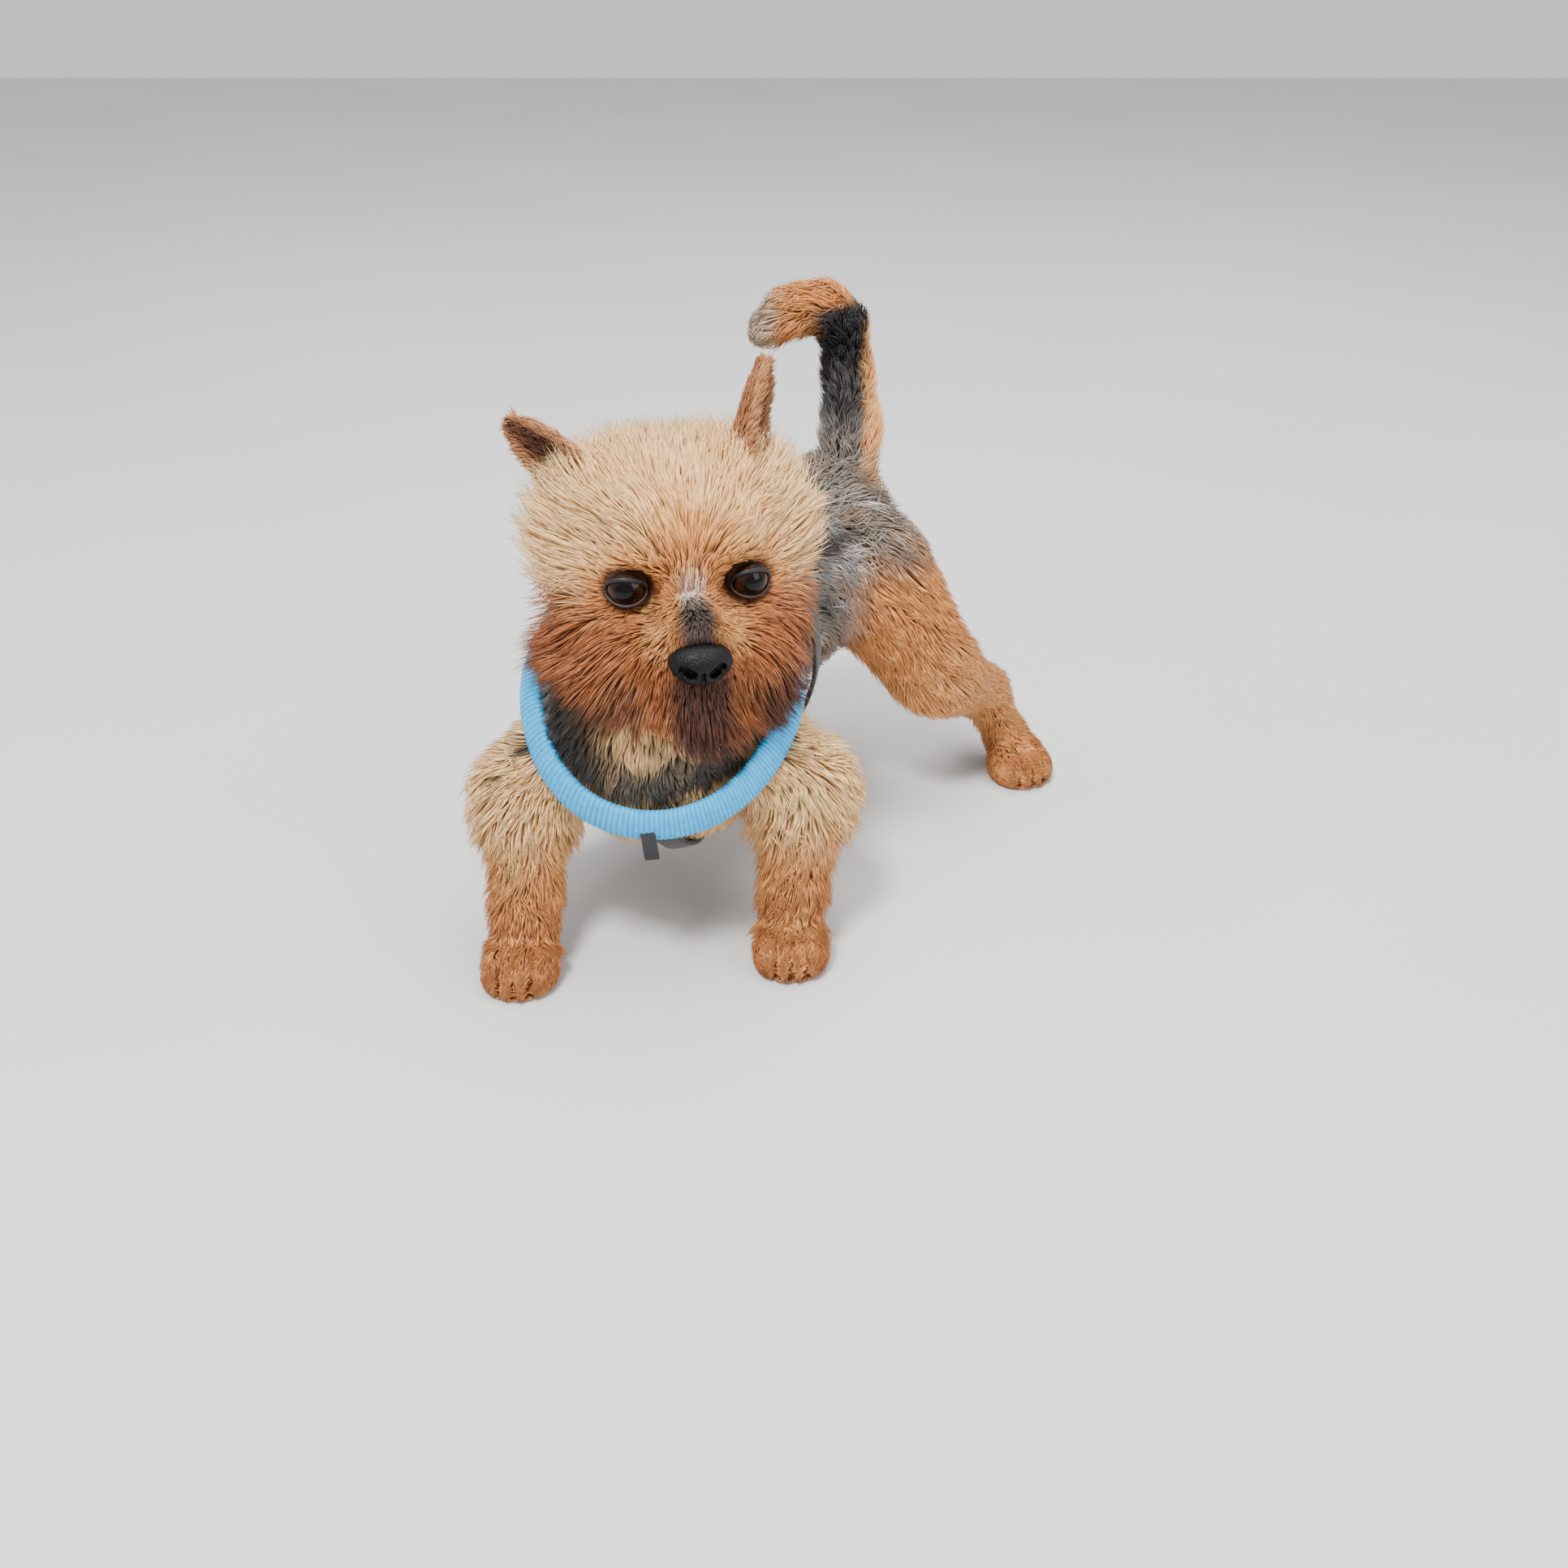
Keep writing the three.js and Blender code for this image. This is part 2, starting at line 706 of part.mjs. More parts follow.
let head = lessAll(headCore, harnessRoom);
let jaw = lessAll(jawCore, [grownHead, ...harnessRoom]);
for (const out of Object.values(SIDES)) {
  const upperLip = lipRoll(out, UPPER_LIP, 1.8);
  const lowerLip = lipRoll(out, LOWER_LIP, 1.6);
  head = head.add(upperLip);
  jaw = jaw.add(lowerLip.subtract(grownHead)).subtract(grown(upperLip, GROWTH));
  head = head.add(lidRim(out)).subtract(eyeBall(out, EYE_RADIUS + SEAM));
}
bodies.set("head", largest(head.subtract(grown(nose, GROWTH))));
bodies.set("lower_jaw", largest(jaw));

const trunk = lessAll(trunkSolid, [grownHead, grown(jawCore, GROWTH)]);
const neckPlane = [vec(-42, -30, 124), free(0, -0.45, 0.893)];
const [neck, belowNeck] = partAt(trunk, ...neckPlane);
const [behindChest, chest] = partAt(belowNeck, vec(-14, 22, 98), backwards(27));
const [hips, loin] = partAt(behindChest, vec(9, 56, 110), backwards(33));
for (const [name, solid] of Object.entries({ neck, chest, loin, hips })) {
  bodies.set(name, largest(lessAll(solid, harnessRoom)));
}

const taken = [grownTrunk, grownHead, grown(jawCore, GROWTH), ...harnessRoom];
for (const side of Object.keys(SIDES)) {
  const { shoulder, elbow, wrist, toes } = FORELEG[side];
  const forelegSolid = core(`foreleg_${side}`, [shoulder, elbow, wrist], 40, 11.5);
  const foreleg = lessAll(forelegSolid, taken);
  taken.push(grown(forelegSolid, GROWTH));
  const [lower, upper] = partAt(foreleg, elbow, bendAt(shoulder, elbow, wrist));
  const wristCut = [wrist, bendAt(elbow, wrist, toes)];
  bodies.set(`foreleg_${side}_upper`, largest(upper));
  bodies.set(`foreleg_${side}_forearm`, largest(partAt(lower, ...wristCut)[1]));
  const forepaw = core(`forepaw_${side}`, [wrist, toes], 24, 5.7);
  bodies.set(`forepaw_${side}`, largest(partAt(forepaw, ...wristCut)[0]));

  const { hip, knee, hock, pastern, toes: tips } = HINDLEG[side];
  const hindlegSolid = core(`hindleg_${side}`, [hip, knee, hock, pastern], 40, 11.5);
  const hindleg = lessAll(hindlegSolid, taken);
  taken.push(grown(hindlegSolid, GROWTH));
  const [shank, thigh] = partAt(hindleg, knee, bendAt(hip, knee, hock));
  const footCut = [pastern, bendAt(hock, pastern, tips)];
  bodies.set(`hindleg_${side}_thigh`, largest(thigh));
  bodies.set(`hindleg_${side}_shank`, largest(partAt(shank, ...footCut)[1]));
  const hindpaw = core(`hindpaw_${side}`, [pastern, tips], 24, 5.7);
  bodies.set(`hindpaw_${side}`, largest(partAt(hindpaw, ...footCut)[0]));
}

const tailPoints = TAIL.map((joint) => joint.at);
const tail = lessAll(core("tail", tailPoints, 26, 8), taken);
const tailCut = (i) => [
  tailPoints[i],
  bendAt(tailPoints[i - 1], tailPoints[i], tailPoints[i + 1]),
];
const [tailUpper, tailRoot] = partAt(tail, ...tailCut(2));
const [tailTip, tailMiddle] = partAt(tailUpper, ...tailCut(4));
bodies.set("tail_root", largest(tailRoot));
bodies.set("tail_middle", largest(tailMiddle));
bodies.set("tail_tip", largest(tailTip));

for (const [side, out] of Object.entries(SIDES)) {
  bodies.set(`ear_${side}`, largest(earSolid(EAR[side]).subtract(grownHead)));
  bodies.set(`eye_${side}`, eyeBall(out, EYE_RADIUS));
}
bodies.set("nose", nose);
bodies.set("harness_collar", collar);
bodies.set("harness_girth", girth);
bodies.set("harness_breast_strap", breastStrap);

// Seeded random numbers from 0 to 1
function randomFrom(seed) {
  let state = seed;
  return () => {
    state = (state + 0x6d2b79f5) | 0;
    let t = Math.imul(state ^ (state >>> 15), 1 | state);
    t = (t + Math.imul(t ^ (t >>> 7), 61 | t)) ^ t;
    return ((t ^ (t >>> 14)) >>> 0) / 4294967296;
  };
}

// One lock: a flat blade of three sides that starts inside the core, follows the lie of the coat and rises to the
// tips of the coat, or null where the lie gives it no way to go
const LOCK_STEPS = 3;
const ROOT_LEVEL = 0.2;
function lockPath(root, length) {
  const level = (t) => lerp(ROOT_LEVEL, 1, t ** 0.8);
  const p = root.clone();
  const path = [];
  for (let i = 0; i <= LOCK_STEPS; i += 1) {
    const t = i / LOCK_STEPS;
    settle(skin, p, (q) => level(t) * coatDepth(q), 3);
    const out = slopeOf(skin, p).normalize();
    const lie = coatLie(p);
    lie.addScaledVector(out, -lie.dot(out));
    if (lie.length() < 0.15) return null;
    lie.normalize();
    path.push({ at: p.clone(), out, lie });
    p.addScaledVector(lie, length / LOCK_STEPS);
  }
  return path;
}

const LOCK_WIDTHS = [0.7, 1, 0.72];
function lockSolid(path, width, margin = 0) {
  const positions = [];
  LOCK_WIDTHS.forEach((share, i) => {
    const { at, out, lie } = path[i];
    const across = lie.clone().cross(out);
    const half = (share * width) / 2 + margin;
    const thick = share * width * 0.26 + margin;
    const corner = (u, v) =>
      positions.push(
        ...at
          .clone()
          .addScaledVector(across, u)
          .addScaledVector(out, v)
          .toArray(),
      );
    corner(-half, -0.3 * thick);
    corner(half, -0.3 * thick);
    corner(0, thick);
  });
  const tip = path[LOCK_STEPS];
  positions.push(...tip.at.clone().addScaledVector(tip.lie, margin).toArray());
  const triangles = [0, 1, 2];
  for (let i = 0; i < LOCK_WIDTHS.length - 1; i += 1)
    for (let j = 0; j < 3; j += 1) {
      const a = i * 3 + j;
      const b = i * 3 + ((j + 1) % 3);
      triangles.push(a, a + 3, b + 3, a, b + 3, b);
    }
  const end = (LOCK_WIDTHS.length - 1) * 3;
  for (let j = 0; j < 3; j += 1) {
    triangles.push(end + j, end + 3, end + ((j + 1) % 3));
  }
  return outwards(positions, triangles);
}

// Plants locks evenly over a node's core, each clear of every other node and of the floor
const LOCKS = [
  { nodes: /^head$/, width: 20, spacing: 20, least: 6 },
  { nodes: /^lower_jaw$/, width: 11, spacing: 11, least: 6 },
  { nodes: /^(neck|chest|loin|hips)$/, width: 32, spacing: 33, least: 4 },
  { nodes: /_upper$|_thigh$/, width: 20, spacing: 22, least: 4 },
  { nodes: /_forearm$|_shank$/, width: 12, spacing: 16, least: 4 },
  { nodes: /^tail/, width: 12, spacing: 15, least: 4 },
];
const TRIES = 260;
function plantLocks(name, { width, spacing, least }, random) {
  const bare = bodies.get(name);
  const others = [...bodies].filter(([other]) => other !== name);
  const near = others.map(([, solid]) => solid).filter((s) => boxesMeet(reachOf(bare), s));
  const mesh = bare.getMesh();
  const corner = (n) => free(...mesh.vertProperties.slice(n * 3, n * 3 + 3));
  const faces = [];
  let area = 0;
  for (let t = 0; t < mesh.numTri; t += 1) {
    const [a, b, c] = [0, 1, 2].map((k) => corner(mesh.triVerts[t * 3 + k]));
    area += b.clone().sub(a).cross(c.clone().sub(a)).length() / 2;
    faces.push({ a, b, c, area });
  }
  const roots = [];
  const locks = [];
  const tries = Math.round((TRIES * area) / (spacing * spacing * 12));
  for (let n = 0; n < tries; n += 1) {
    const pick = random() * area;
    const { a, b, c } = faces.find((face) => face.area >= pick);
    const u = Math.sqrt(random());
    const v = random();
    const root = a
      .clone()
      .multiplyScalar(1 - u)
      .addScaledVector(b, u * (1 - v))
      .addScaledVector(c, u * v);
    const stretch = lerp(0.85, 1.15, random());
    const depth = coatDepth(root);
    const onCoat = Math.abs(skin(root) - CORE_SHARE * depth) < 1.6;
    const apart = roots.every((other) => other.distanceTo(root) > spacing);
    if (!onCoat || !apart || depth < least) continue;
    for (const share of [1, 0.72]) {
      const path = lockPath(root, (depth * 1.7 + 6) * stretch * share);
      if (!path || path.some(({ at }) => inClearing(at) < 1)) continue;
      const wide = width * lerp(0.85, 1.1, random());
      const room = lockSolid(path, wide, GROWTH);
      const hits = [FLOOR, ...near].some(
        (other) => boxesMeet(room, other) && room.intersect(other).volume() > 0,
      );
      if (hits) continue;
      roots.push(root);
      locks.push(lockSolid(path, wide));
      break;
    }
  }
  bodies.set(name, largest(wasm.Manifold.union([bare, ...locks])));
}

// A box with room round a solid for its locks
function reachOf(solid) {
  const { min, max } = solid.boundingBox();
  const box = new THREE.Box3(free(...min), free(...max)).expandByScalar(45);
  const size = box.getSize(free(0, 0, 0));
  return placed(new THREE.BoxGeometry(...size.toArray()), box.getCenter(free(0, 0, 0)));
}

const random = randomFrom(23);
for (const name of [...bodies.keys()]) {
  const kind = LOCKS.find(({ nodes }) => nodes.test(name));
  if (kind) plantLocks(name, kind, random);
}

// The model
const TAN = { color: 0xb9804e, roughness: 0.9, metalness: 0 };
const GREY = { color: 0x6c6259, roughness: 0.9, metalness: 0 };
const BLACK = { color: 0x17120f, roughness: 0.35, metalness: 0 };
const EYE = { color: 0x24120a, roughness: 0.06, metalness: 0 };
const BLUE = { color: 0x58bfe0, roughness: 0.85, metalness: 0 };
const WEBBING = { color: 0x1d2226, roughness: 0.7, metalness: 0 };
const finishOf = (name) => {
  if (name.startsWith("eye")) return EYE;
  if (name === "nose") return BLACK;
  if (name === "harness_collar") return BLUE;
  if (name.startsWith("harness")) return WEBBING;
  if (/neck|loin|hips|tail_root|tail_middle/.test(name)) return GREY;
  return TAN;
};

const FLATNESS = 0.12;
const dog = new THREE.Group();
for (const [name, solid] of bodies) {
  const mesh = largest(solid.simplify(FLATNESS)).getMesh();
  const geometry = new THREE.BufferGeometry();
  geometry.setAttribute(
    "position",
    new THREE.BufferAttribute(mesh.vertProperties, 3),
  );
  geometry.setIndex(new THREE.BufferAttribute(mesh.triVerts, 1));
  geometry.computeVertexNormals();
  const node = new THREE.Mesh(
    geometry,
    new THREE.MeshStandardMaterial(finishOf(name)),
  );
  node.name = name;
  dog.add(node);
}

export default dog;
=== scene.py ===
import math

import bmesh
import bpy
import numpy as np
from mathutils import Matrix, Vector
from mathutils.kdtree import KDTree


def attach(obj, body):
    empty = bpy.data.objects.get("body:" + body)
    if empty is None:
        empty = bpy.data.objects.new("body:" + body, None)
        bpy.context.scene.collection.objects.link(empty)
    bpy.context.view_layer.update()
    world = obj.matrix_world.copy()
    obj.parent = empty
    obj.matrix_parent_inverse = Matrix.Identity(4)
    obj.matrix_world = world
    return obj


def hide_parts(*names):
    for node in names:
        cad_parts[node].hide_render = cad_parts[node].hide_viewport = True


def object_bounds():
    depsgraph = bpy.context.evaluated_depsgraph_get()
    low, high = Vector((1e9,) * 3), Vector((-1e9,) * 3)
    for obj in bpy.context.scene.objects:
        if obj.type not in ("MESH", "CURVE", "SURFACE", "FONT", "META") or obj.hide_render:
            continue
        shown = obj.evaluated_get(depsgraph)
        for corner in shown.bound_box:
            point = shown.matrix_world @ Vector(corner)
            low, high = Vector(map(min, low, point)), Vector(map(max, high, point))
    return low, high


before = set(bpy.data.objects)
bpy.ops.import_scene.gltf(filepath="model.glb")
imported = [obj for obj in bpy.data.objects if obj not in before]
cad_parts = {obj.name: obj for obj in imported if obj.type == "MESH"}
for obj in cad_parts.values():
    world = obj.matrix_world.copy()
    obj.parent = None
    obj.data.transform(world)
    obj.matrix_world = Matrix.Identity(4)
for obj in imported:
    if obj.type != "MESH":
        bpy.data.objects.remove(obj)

# A small terrier in a clipped coat, standing low in front with its tail up, in a padded harness.
# The shape is one field of distance to the skin, made of the same balls and tapered limbs as the solids.
# One skin follows it, and tufts of hair grow from it along the lie of the coat. Lengths are in millimetres
# until a mesh is made of them.
CAD_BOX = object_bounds()
MM = 0.001
SKIN_CELL = 1.7
HAIR_SHARE = 0.88
BLEND = 10.0
COAT_BLEND, COLOUR_BLEND = 5.0, 4.0
EYE_SPACING, EYE_RADIUS, EYE_DEPTH = 46.0, 8.0, 3.5
LID_REACH, LID_DEPTH, CORNEA_BULGE = 7.9, 0.5, 0.05
EAR_LENGTH, EAR_WIDTH, EAR_ROOT = 44.0, 27.0, 9.0
NOSE_WIDTH, NOSE_MIDDLE = 24.0, (0, -29.5, -17.5)
TOE_STEP, TOE_HEIGHT = 5.2, 5.5
SHIFT = np.array([-5.0, 1.5, 0.0])
TRUNK = ("neck", "chest", "ribs", "loin", "hips")
SIDES = {"left": 1, "right": -1}
UP = np.array([0.0, 0.0, 1.0])
rng = np.random.default_rng(7)


def vec(x, y, z):
    return np.array([x, y, z], float) + SHIFT


def unit(v):
    v = np.asarray(v, float)
    return v / np.maximum(np.linalg.norm(v, axis=-1, keepdims=True), 1e-9)


def turn(axis, degrees):
    return np.array(Matrix.Rotation(math.radians(degrees), 3, Vector(axis)))


def smooth(x, low, high):
    t = np.clip((x - low) / (high - low), 0, 1)
    return t * t * (3 - 2 * t)


# The head's own frame: x to the dog's left, y to the back of the skull, z up, from between the eyes
EYE_MIDPOINT = vec(-31, -64.5, 152)
HEAD_TURN = turn((0, 0, 1), 10.7) @ turn((1, 0, 0), 2.4)


def on_head(x, y, z):
    return EYE_MIDPOINT + HEAD_TURN @ np.array([x, y, z], float)


def in_head(p):
    return (p - EYE_MIDPOINT) @ HEAD_TURN


# Places of the joints, and how far each part of the trunk is turned
YAW = {"chest": 8, "ribs": 20, "loin": 30, "hips": 35}
FORELEG = {
    "left": (vec(-17, -56, 88), vec(13, -62, 62), vec(8, -84, 20), vec(8, -96, 8)),
    "right": (vec(-72, -55, 88), vec(-99, -67, 62), vec(-99, -96, 20), vec(-100, -108, 8)),
}
HINDLEG = {
    "left": (vec(43, 62, 104), vec(76, 45, 62), vec(104, 80, 34), vec(116, 68, 13), vec(120, 57, 8)),
    "right": (vec(-1, 89, 104), vec(-26, 62, 64), vec(-38, 100, 36), vec(-40, 86, 13), vec(-42, 74, 8)),
}
TAIL = [
    # place, radius, coat
    (vec(33, 86, 140), 9, 11), (vec(36, 93, 165), 6, 9), (vec(34, 94, 190), 5, 7.5),
    (vec(31, 91, 211), 5, 6.5), (vec(21, 85, 221), 4.8, 6.5), (vec(7, 79, 219), 4.5, 6.5),
    (vec(-2, 75, 213), 4, 6.5),
]
parts = []


def ball(group, centre, semi, rotation, coat, lie):
    parts.append({"group": group, "kind": "ball", "centre": centre, "semi": np.array(semi, float),
                  "turn": rotation, "coat": coat, "lie": lie})


def limb(group, start, end, start_radius, end_radius, coat, lie=None):
    parts.append({"group": group, "kind": "limb", "start": start, "end": end,
                  "radii": (start_radius, end_radius), "coat": coat,
                  "lie": unit(end - start) if lie is None else lie})


def backwards(degrees, fall=0.0):
    """Direction to the tail, turned from straight back by so many degrees and falling."""
    return unit([math.sin(math.radians(degrees)), math.cos(math.radians(degrees)), -fall])


def head_ball(x, y, z, semi, coat):
    ball("head", on_head(x, y, z), semi, HEAD_TURN, coat, "head")


def build_flesh():
    head_ball(0, 34, 4, (32, 37, 28), 15)
    limb("head", on_head(0, 2, -6), on_head(0, -24, -13), 10, 8.5, 2.5, "head")
    limb("head", on_head(0, 4, -14), on_head(0, -19, -19), 16, 10.5, 6, "head")
    head_ball(0, -24, -17.5, (10.5, 7, 8), 0.8)
    for out in SIDES.values():
        head_ball(out * 15, 9, 12, (13, 12, 11), 9)
        head_ball(out * 20, 36, 4, (16, 22, 22), 25)
        head_ball(out * 21, 24, -13, (15, 20, 18), 21)
        head_ball(out * 7, -17, -23, (8, 12, 8), 11)
        head_ball(out * EYE_SPACING / 2, 8, 0, (10.5, 9, 9.5), 2)
    limb("jaw", on_head(0, 16, -30), on_head(0, -15, -31), 12, 7, 14, "head")
    limb("neck", vec(-40, -18, 134), vec(-42, -45, 102), 31, 40, 16, unit([0, 0.2, -1]))
    for name, centre, semi, coat, lie in [
        ("chest", vec(-44, -46, 88), (43, 49, 45), 14, -UP),
        ("ribs", vec(-29, -2, 95), (40, 50, 45), 12, backwards(YAW["ribs"], 0.8)),
        ("loin", vec(-3, 42, 104), (32, 46, 37), 11, backwards(YAW["loin"], 0.8)),
        ("hips", vec(20, 74, 116), (33, 32, 32), 10, backwards(YAW["hips"], 1.1)),
    ]:
        ball(name, centre, semi, turn((0, 0, 1), -YAW[name]), coat, lie)
    for side, out in SIDES.items():
        shoulder, elbow, wrist, toes = FORELEG[side]
        fringe = unit([0.9 * out, 0.3, -0.8])
        limb("upper_arm", shoulder, elbow, 19, 13, 13, fringe)
        limb("forearm", elbow, wrist, 12, 7.5, 9)
        paw(wrist, toes)
        hip, knee, hock, pastern, toes = HINDLEG[side]
        limb("thigh", hip, knee, 25, 14, 10)
        limb("shank", knee, hock, 13, 7, 8)
        limb("shank", hock, pastern, 7, 7, 4)
        paw(pastern, toes)
    for (start, start_radius, _), (end, end_radius, coat) in zip(TAIL, TAIL[1:]):
        limb("tail", start, end, start_radius, end_radius, coat)


def toe_places(joint, toes):
    ahead = unit([toes[0] - joint[0], toes[1] - joint[1], 0])
    across = np.cross(ahead, UP)
    for step in (-1.5, -0.5, 0.5, 1.5):
        at = toes + across * step * TOE_STEP + ahead * (6 if abs(step) < 1 else 3)
        at[2] = TOE_HEIGHT
        yield at, ahead


def paw(joint, toes):
    limb("paw", joint, toes, 7.5, 8.5, 2.5)
    for at, ahead in toe_places(joint, toes):
        across = np.cross(ahead, UP)
        ball("paw", at, (4.6, 7, 5.2), np.column_stack([across, ahead, UP]), 1.5, ahead)


build_flesh()
COATS = np.array([part["coat"] for part in parts], np.float32)
GROUPS = [part["group"] for part in parts]


def distances(p):
    """Distance of each point to each part, as one row for each part."""
    rows = []
    for part in parts:
        if part["kind"] == "ball":
            q = (p - part["centre"]) @ part["turn"]
            near = np.linalg.norm(q / part["semi"], axis=1)
            slope = np.linalg.norm(q / part["semi"] ** 2, axis=1)
            rows.append(near * (near - 1) / np.maximum(slope, 1e-4))
        else:
            along = part["end"] - part["start"]
            share = np.clip((p - part["start"]) @ along / (along @ along), 0, 1)
            gap = p - part["start"] - share[:, None] * along
            r0, r1 = part["radii"]
            rows.append(np.linalg.norm(gap, axis=1) - (r0 + (r1 - r0) * share))
    return np.array(rows, np.float32)


def smooth_least(a, b):
    near = np.maximum(BLEND - np.abs(a - b), 0) / BLEND
    return np.minimum(a, b) - near * near * BLEND / 4


# The clear spaces before the eyes and the nose
CLEARINGS = [((EYE_SPACING / 2 - 0.5, -8, 0.9), (10.2, 13, 8.8)), ((0, -44, -16.5), (13, 17, 9.5))]


def in_clearing(p):
    """Distance to the nearest clearing, below zero inside it."""
    q = in_head(p)
    q[:, 0] = np.abs(q[:, 0])
    reach = [(np.linalg.norm((q - np.array(at)) / np.array(semi), axis=1) - 1) * semi[2]
             for at, semi in CLEARINGS]
    return np.minimum(*reach)


PAWS = [places[side][-2:] for places in (FORELEG, HINDLEG) for side in SIDES]
PAW_HEIGHT = 26
GROOVE_DEPTH, GROOVE_WIDTH = 3.2, 1.3


def toe_grooves(p):
    deep = np.zeros(len(p))
    near = p[:, 2] < PAW_HEIGHT
    low = p[near]
    for joint, toes in PAWS:
        _, ahead = next(toe_places(joint, toes))
        across, forward = (low - toes) @ np.cross(ahead, UP), (low - toes) @ ahead
        there = smooth(forward, -3, 4) * (1 - smooth(forward, 20, 30)) * smooth(low[:, 2], 0.5, 3)
        for u in (-TOE_STEP, 0, TOE_STEP):
            off = across - u * (1 + 0.01 * forward)
            deep[near] += GROOVE_DEPTH * np.exp(-(off / GROOVE_WIDTH) ** 2) * there
    return deep


def skin_from(rows, p):
    least = rows[0]
    for row in rows[1:]:
        least = smooth_least(least, row)
    return -smooth_least(-least, in_clearing(p)) + toe_grooves(p)


def skin_at(p, chunk=60000):
    pieces = [p[i:i + chunk] for i in range(0, len(p), chunk)]
    return np.concatenate([skin_from(distances(piece), piece) for piece in pieces])


def slope_at(p, step=0.6):
    base = skin_at(p)
    return base, np.stack([skin_at(p + step * np.eye(3)[k]) - base for k in range(3)], axis=1) / step


# The hair of the head spreads from this place above the nose
STOP = np.array([0.0, -8.0, -6.0])


def head_lie(p):
    spread = in_head(p) - STOP
    hang = smooth(-in_head(p)[:, 2], 2, 26)
    spread[:, 2] -= hang * 1.3 * np.linalg.norm(spread, axis=1)
    return unit(spread) @ HEAD_TURN.T


def shares_of(rows):
    weights = np.exp((rows.min(axis=0) - rows) / COAT_BLEND)
    return weights / weights.sum(axis=0)


def coat_at(p):
    """Depth of the coat, way in which the hair lies, and number of the nearest part, at each point."""
    rows = distances(p)
    weights = shares_of(rows)
    on_head_lie = head_lie(p)
    lie = np.zeros_like(p)
    for weight, part in zip(weights, parts):
        lie += weight[:, None] * (on_head_lie if isinstance(part["lie"], str) else part["lie"])
    return weights.T @ COATS, lie, rows.argmin(axis=0)


# Surface of a field as quads, one vertex to each lattice cell that it crosses
def net(field, low, high, cell, project=2, step=0.4):
    size = np.ceil((np.array(high) - low) / cell).astype(int) + 1
    axes = [low[k] + cell * np.arange(size[k]) for k in range(3)]
    grid = np.stack(np.meshgrid(*axes, indexing="ij"), axis=-1).reshape(-1, 3)
    values = field(grid).reshape(size)
    inside = values < 0
    edges, points = [], []
    for axis in range(3):
        first = [slice(0, n) for n in size]
        second = list(first)
        first[axis], second[axis] = slice(0, size[axis] - 1), slice(1, size[axis])
        for k in range(3):
            if k != axis:
                first[k] = second[k] = slice(1, size[k] - 1)
        a, b = values[tuple(first)], values[tuple(second)]
        at = np.argwhere((a < 0) != (b < 0))
        share = a[tuple(at.T)] / (a[tuple(at.T)] - b[tuple(at.T)])
        at += np.array([0 if k == axis else 1 for k in range(3)])
        point = low + cell * (at + share[:, None] * np.eye(3)[axis])
        u, v = np.eye(3, dtype=int)[(axis + 1) % 3], np.eye(3, dtype=int)[(axis + 2) % 3]
        ring = np.stack([at - u - v, at - v, at, at - u], axis=1)
        outward = inside[tuple(at.T)]
        ring[~outward] = ring[~outward][:, ::-1]
        edges.append(ring)
        points.append(np.repeat(point[:, None], 4, axis=1))
    rings = np.concatenate(edges)
    points = np.concatenate(points).reshape(-1, 3)
    codes = (rings @ np.array([size[1] * size[2], size[2], 1])).reshape(-1)
    _, index = np.unique(codes, return_inverse=True)
    count = np.bincount(index)
    vertices = np.stack([np.bincount(index, points[:, k]) / count for k in range(3)], axis=1)
    for _ in range(project):
        base = field(vertices)
        slope = np.stack([field(vertices + step * np.eye(3)[k]) - base for k in range(3)], axis=1) / step
        fix = base / np.maximum((slope ** 2).sum(axis=1), 0.3)
        vertices = vertices - np.clip(fix, -cell / 2, cell / 2)[:, None] * slope
    return vertices, index.reshape(-1, 4)


# Meshes
def mesh_object(name, vertices, faces):
    faces = np.asarray(faces)
    mesh = bpy.data.meshes.new(name)
    mesh.vertices.add(len(vertices))
    mesh.vertices.foreach_set("co", np.ascontiguousarray(vertices * MM, np.float32).ravel())
    mesh.loops.add(faces.size)
    mesh.loops.foreach_set("vertex_index", faces.ravel().astype(np.int32))
    mesh.polygons.add(len(faces))
    mesh.polygons.foreach_set("loop_start", np.arange(len(faces), dtype=np.int32) * faces.shape[1])
    mesh.update(calc_edges=True)
    mesh.polygons.foreach_set("use_smooth", np.full(len(faces), True))
    obj = bpy.data.objects.new(name, mesh)
    bpy.context.scene.collection.objects.link(obj)
    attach(obj, "root")
    return obj


def points_of(obj):
    places = np.empty(len(obj.data.vertices) * 3)
    obj.data.vertices.foreach_get("co", places)
    return places.reshape(-1, 3) / MM


def oval(centre, first, second, count):
    angles = 2 * math.pi * np.arange(count)[:, None] / count
    return centre + np.cos(angles) * first + np.sin(angles) * second


def ring_mesh(name, rings, joined=False):
    """Tube through rings of points, with flat ends or joined to itself."""
    rings = np.asarray(rings)
    rings = np.concatenate([rings, rings[:1]]) if joined else rings
    rows, columns = rings.shape[:2]
    a = np.arange(rows - 1)[:, None] * columns + np.arange(columns)
    b = np.arange(rows - 1)[:, None] * columns + (np.arange(columns) + 1) % columns
    quads = np.stack([a, b, b + columns, a + columns], axis=-1).reshape(-1, 4)
    obj = mesh_object(name, rings.reshape(-1, 3), quads)
    shape = bmesh.new()
    shape.from_mesh(obj.data)
    if joined:
        bmesh.ops.remove_doubles(shape, verts=shape.verts, dist=1e-6)
    else:
        bmesh.ops.holes_fill(shape, edges=shape.edges, sides=0)
        bmesh.ops.triangulate(shape, faces=[f for f in shape.faces if len(f.verts) > 4])
    bmesh.ops.recalc_face_normals(shape, faces=shape.faces)
    shape.to_mesh(obj.data)
    shape.free()
    obj.data.polygons.foreach_set("use_smooth", np.ones(len(obj.data.polygons), bool))
    return obj


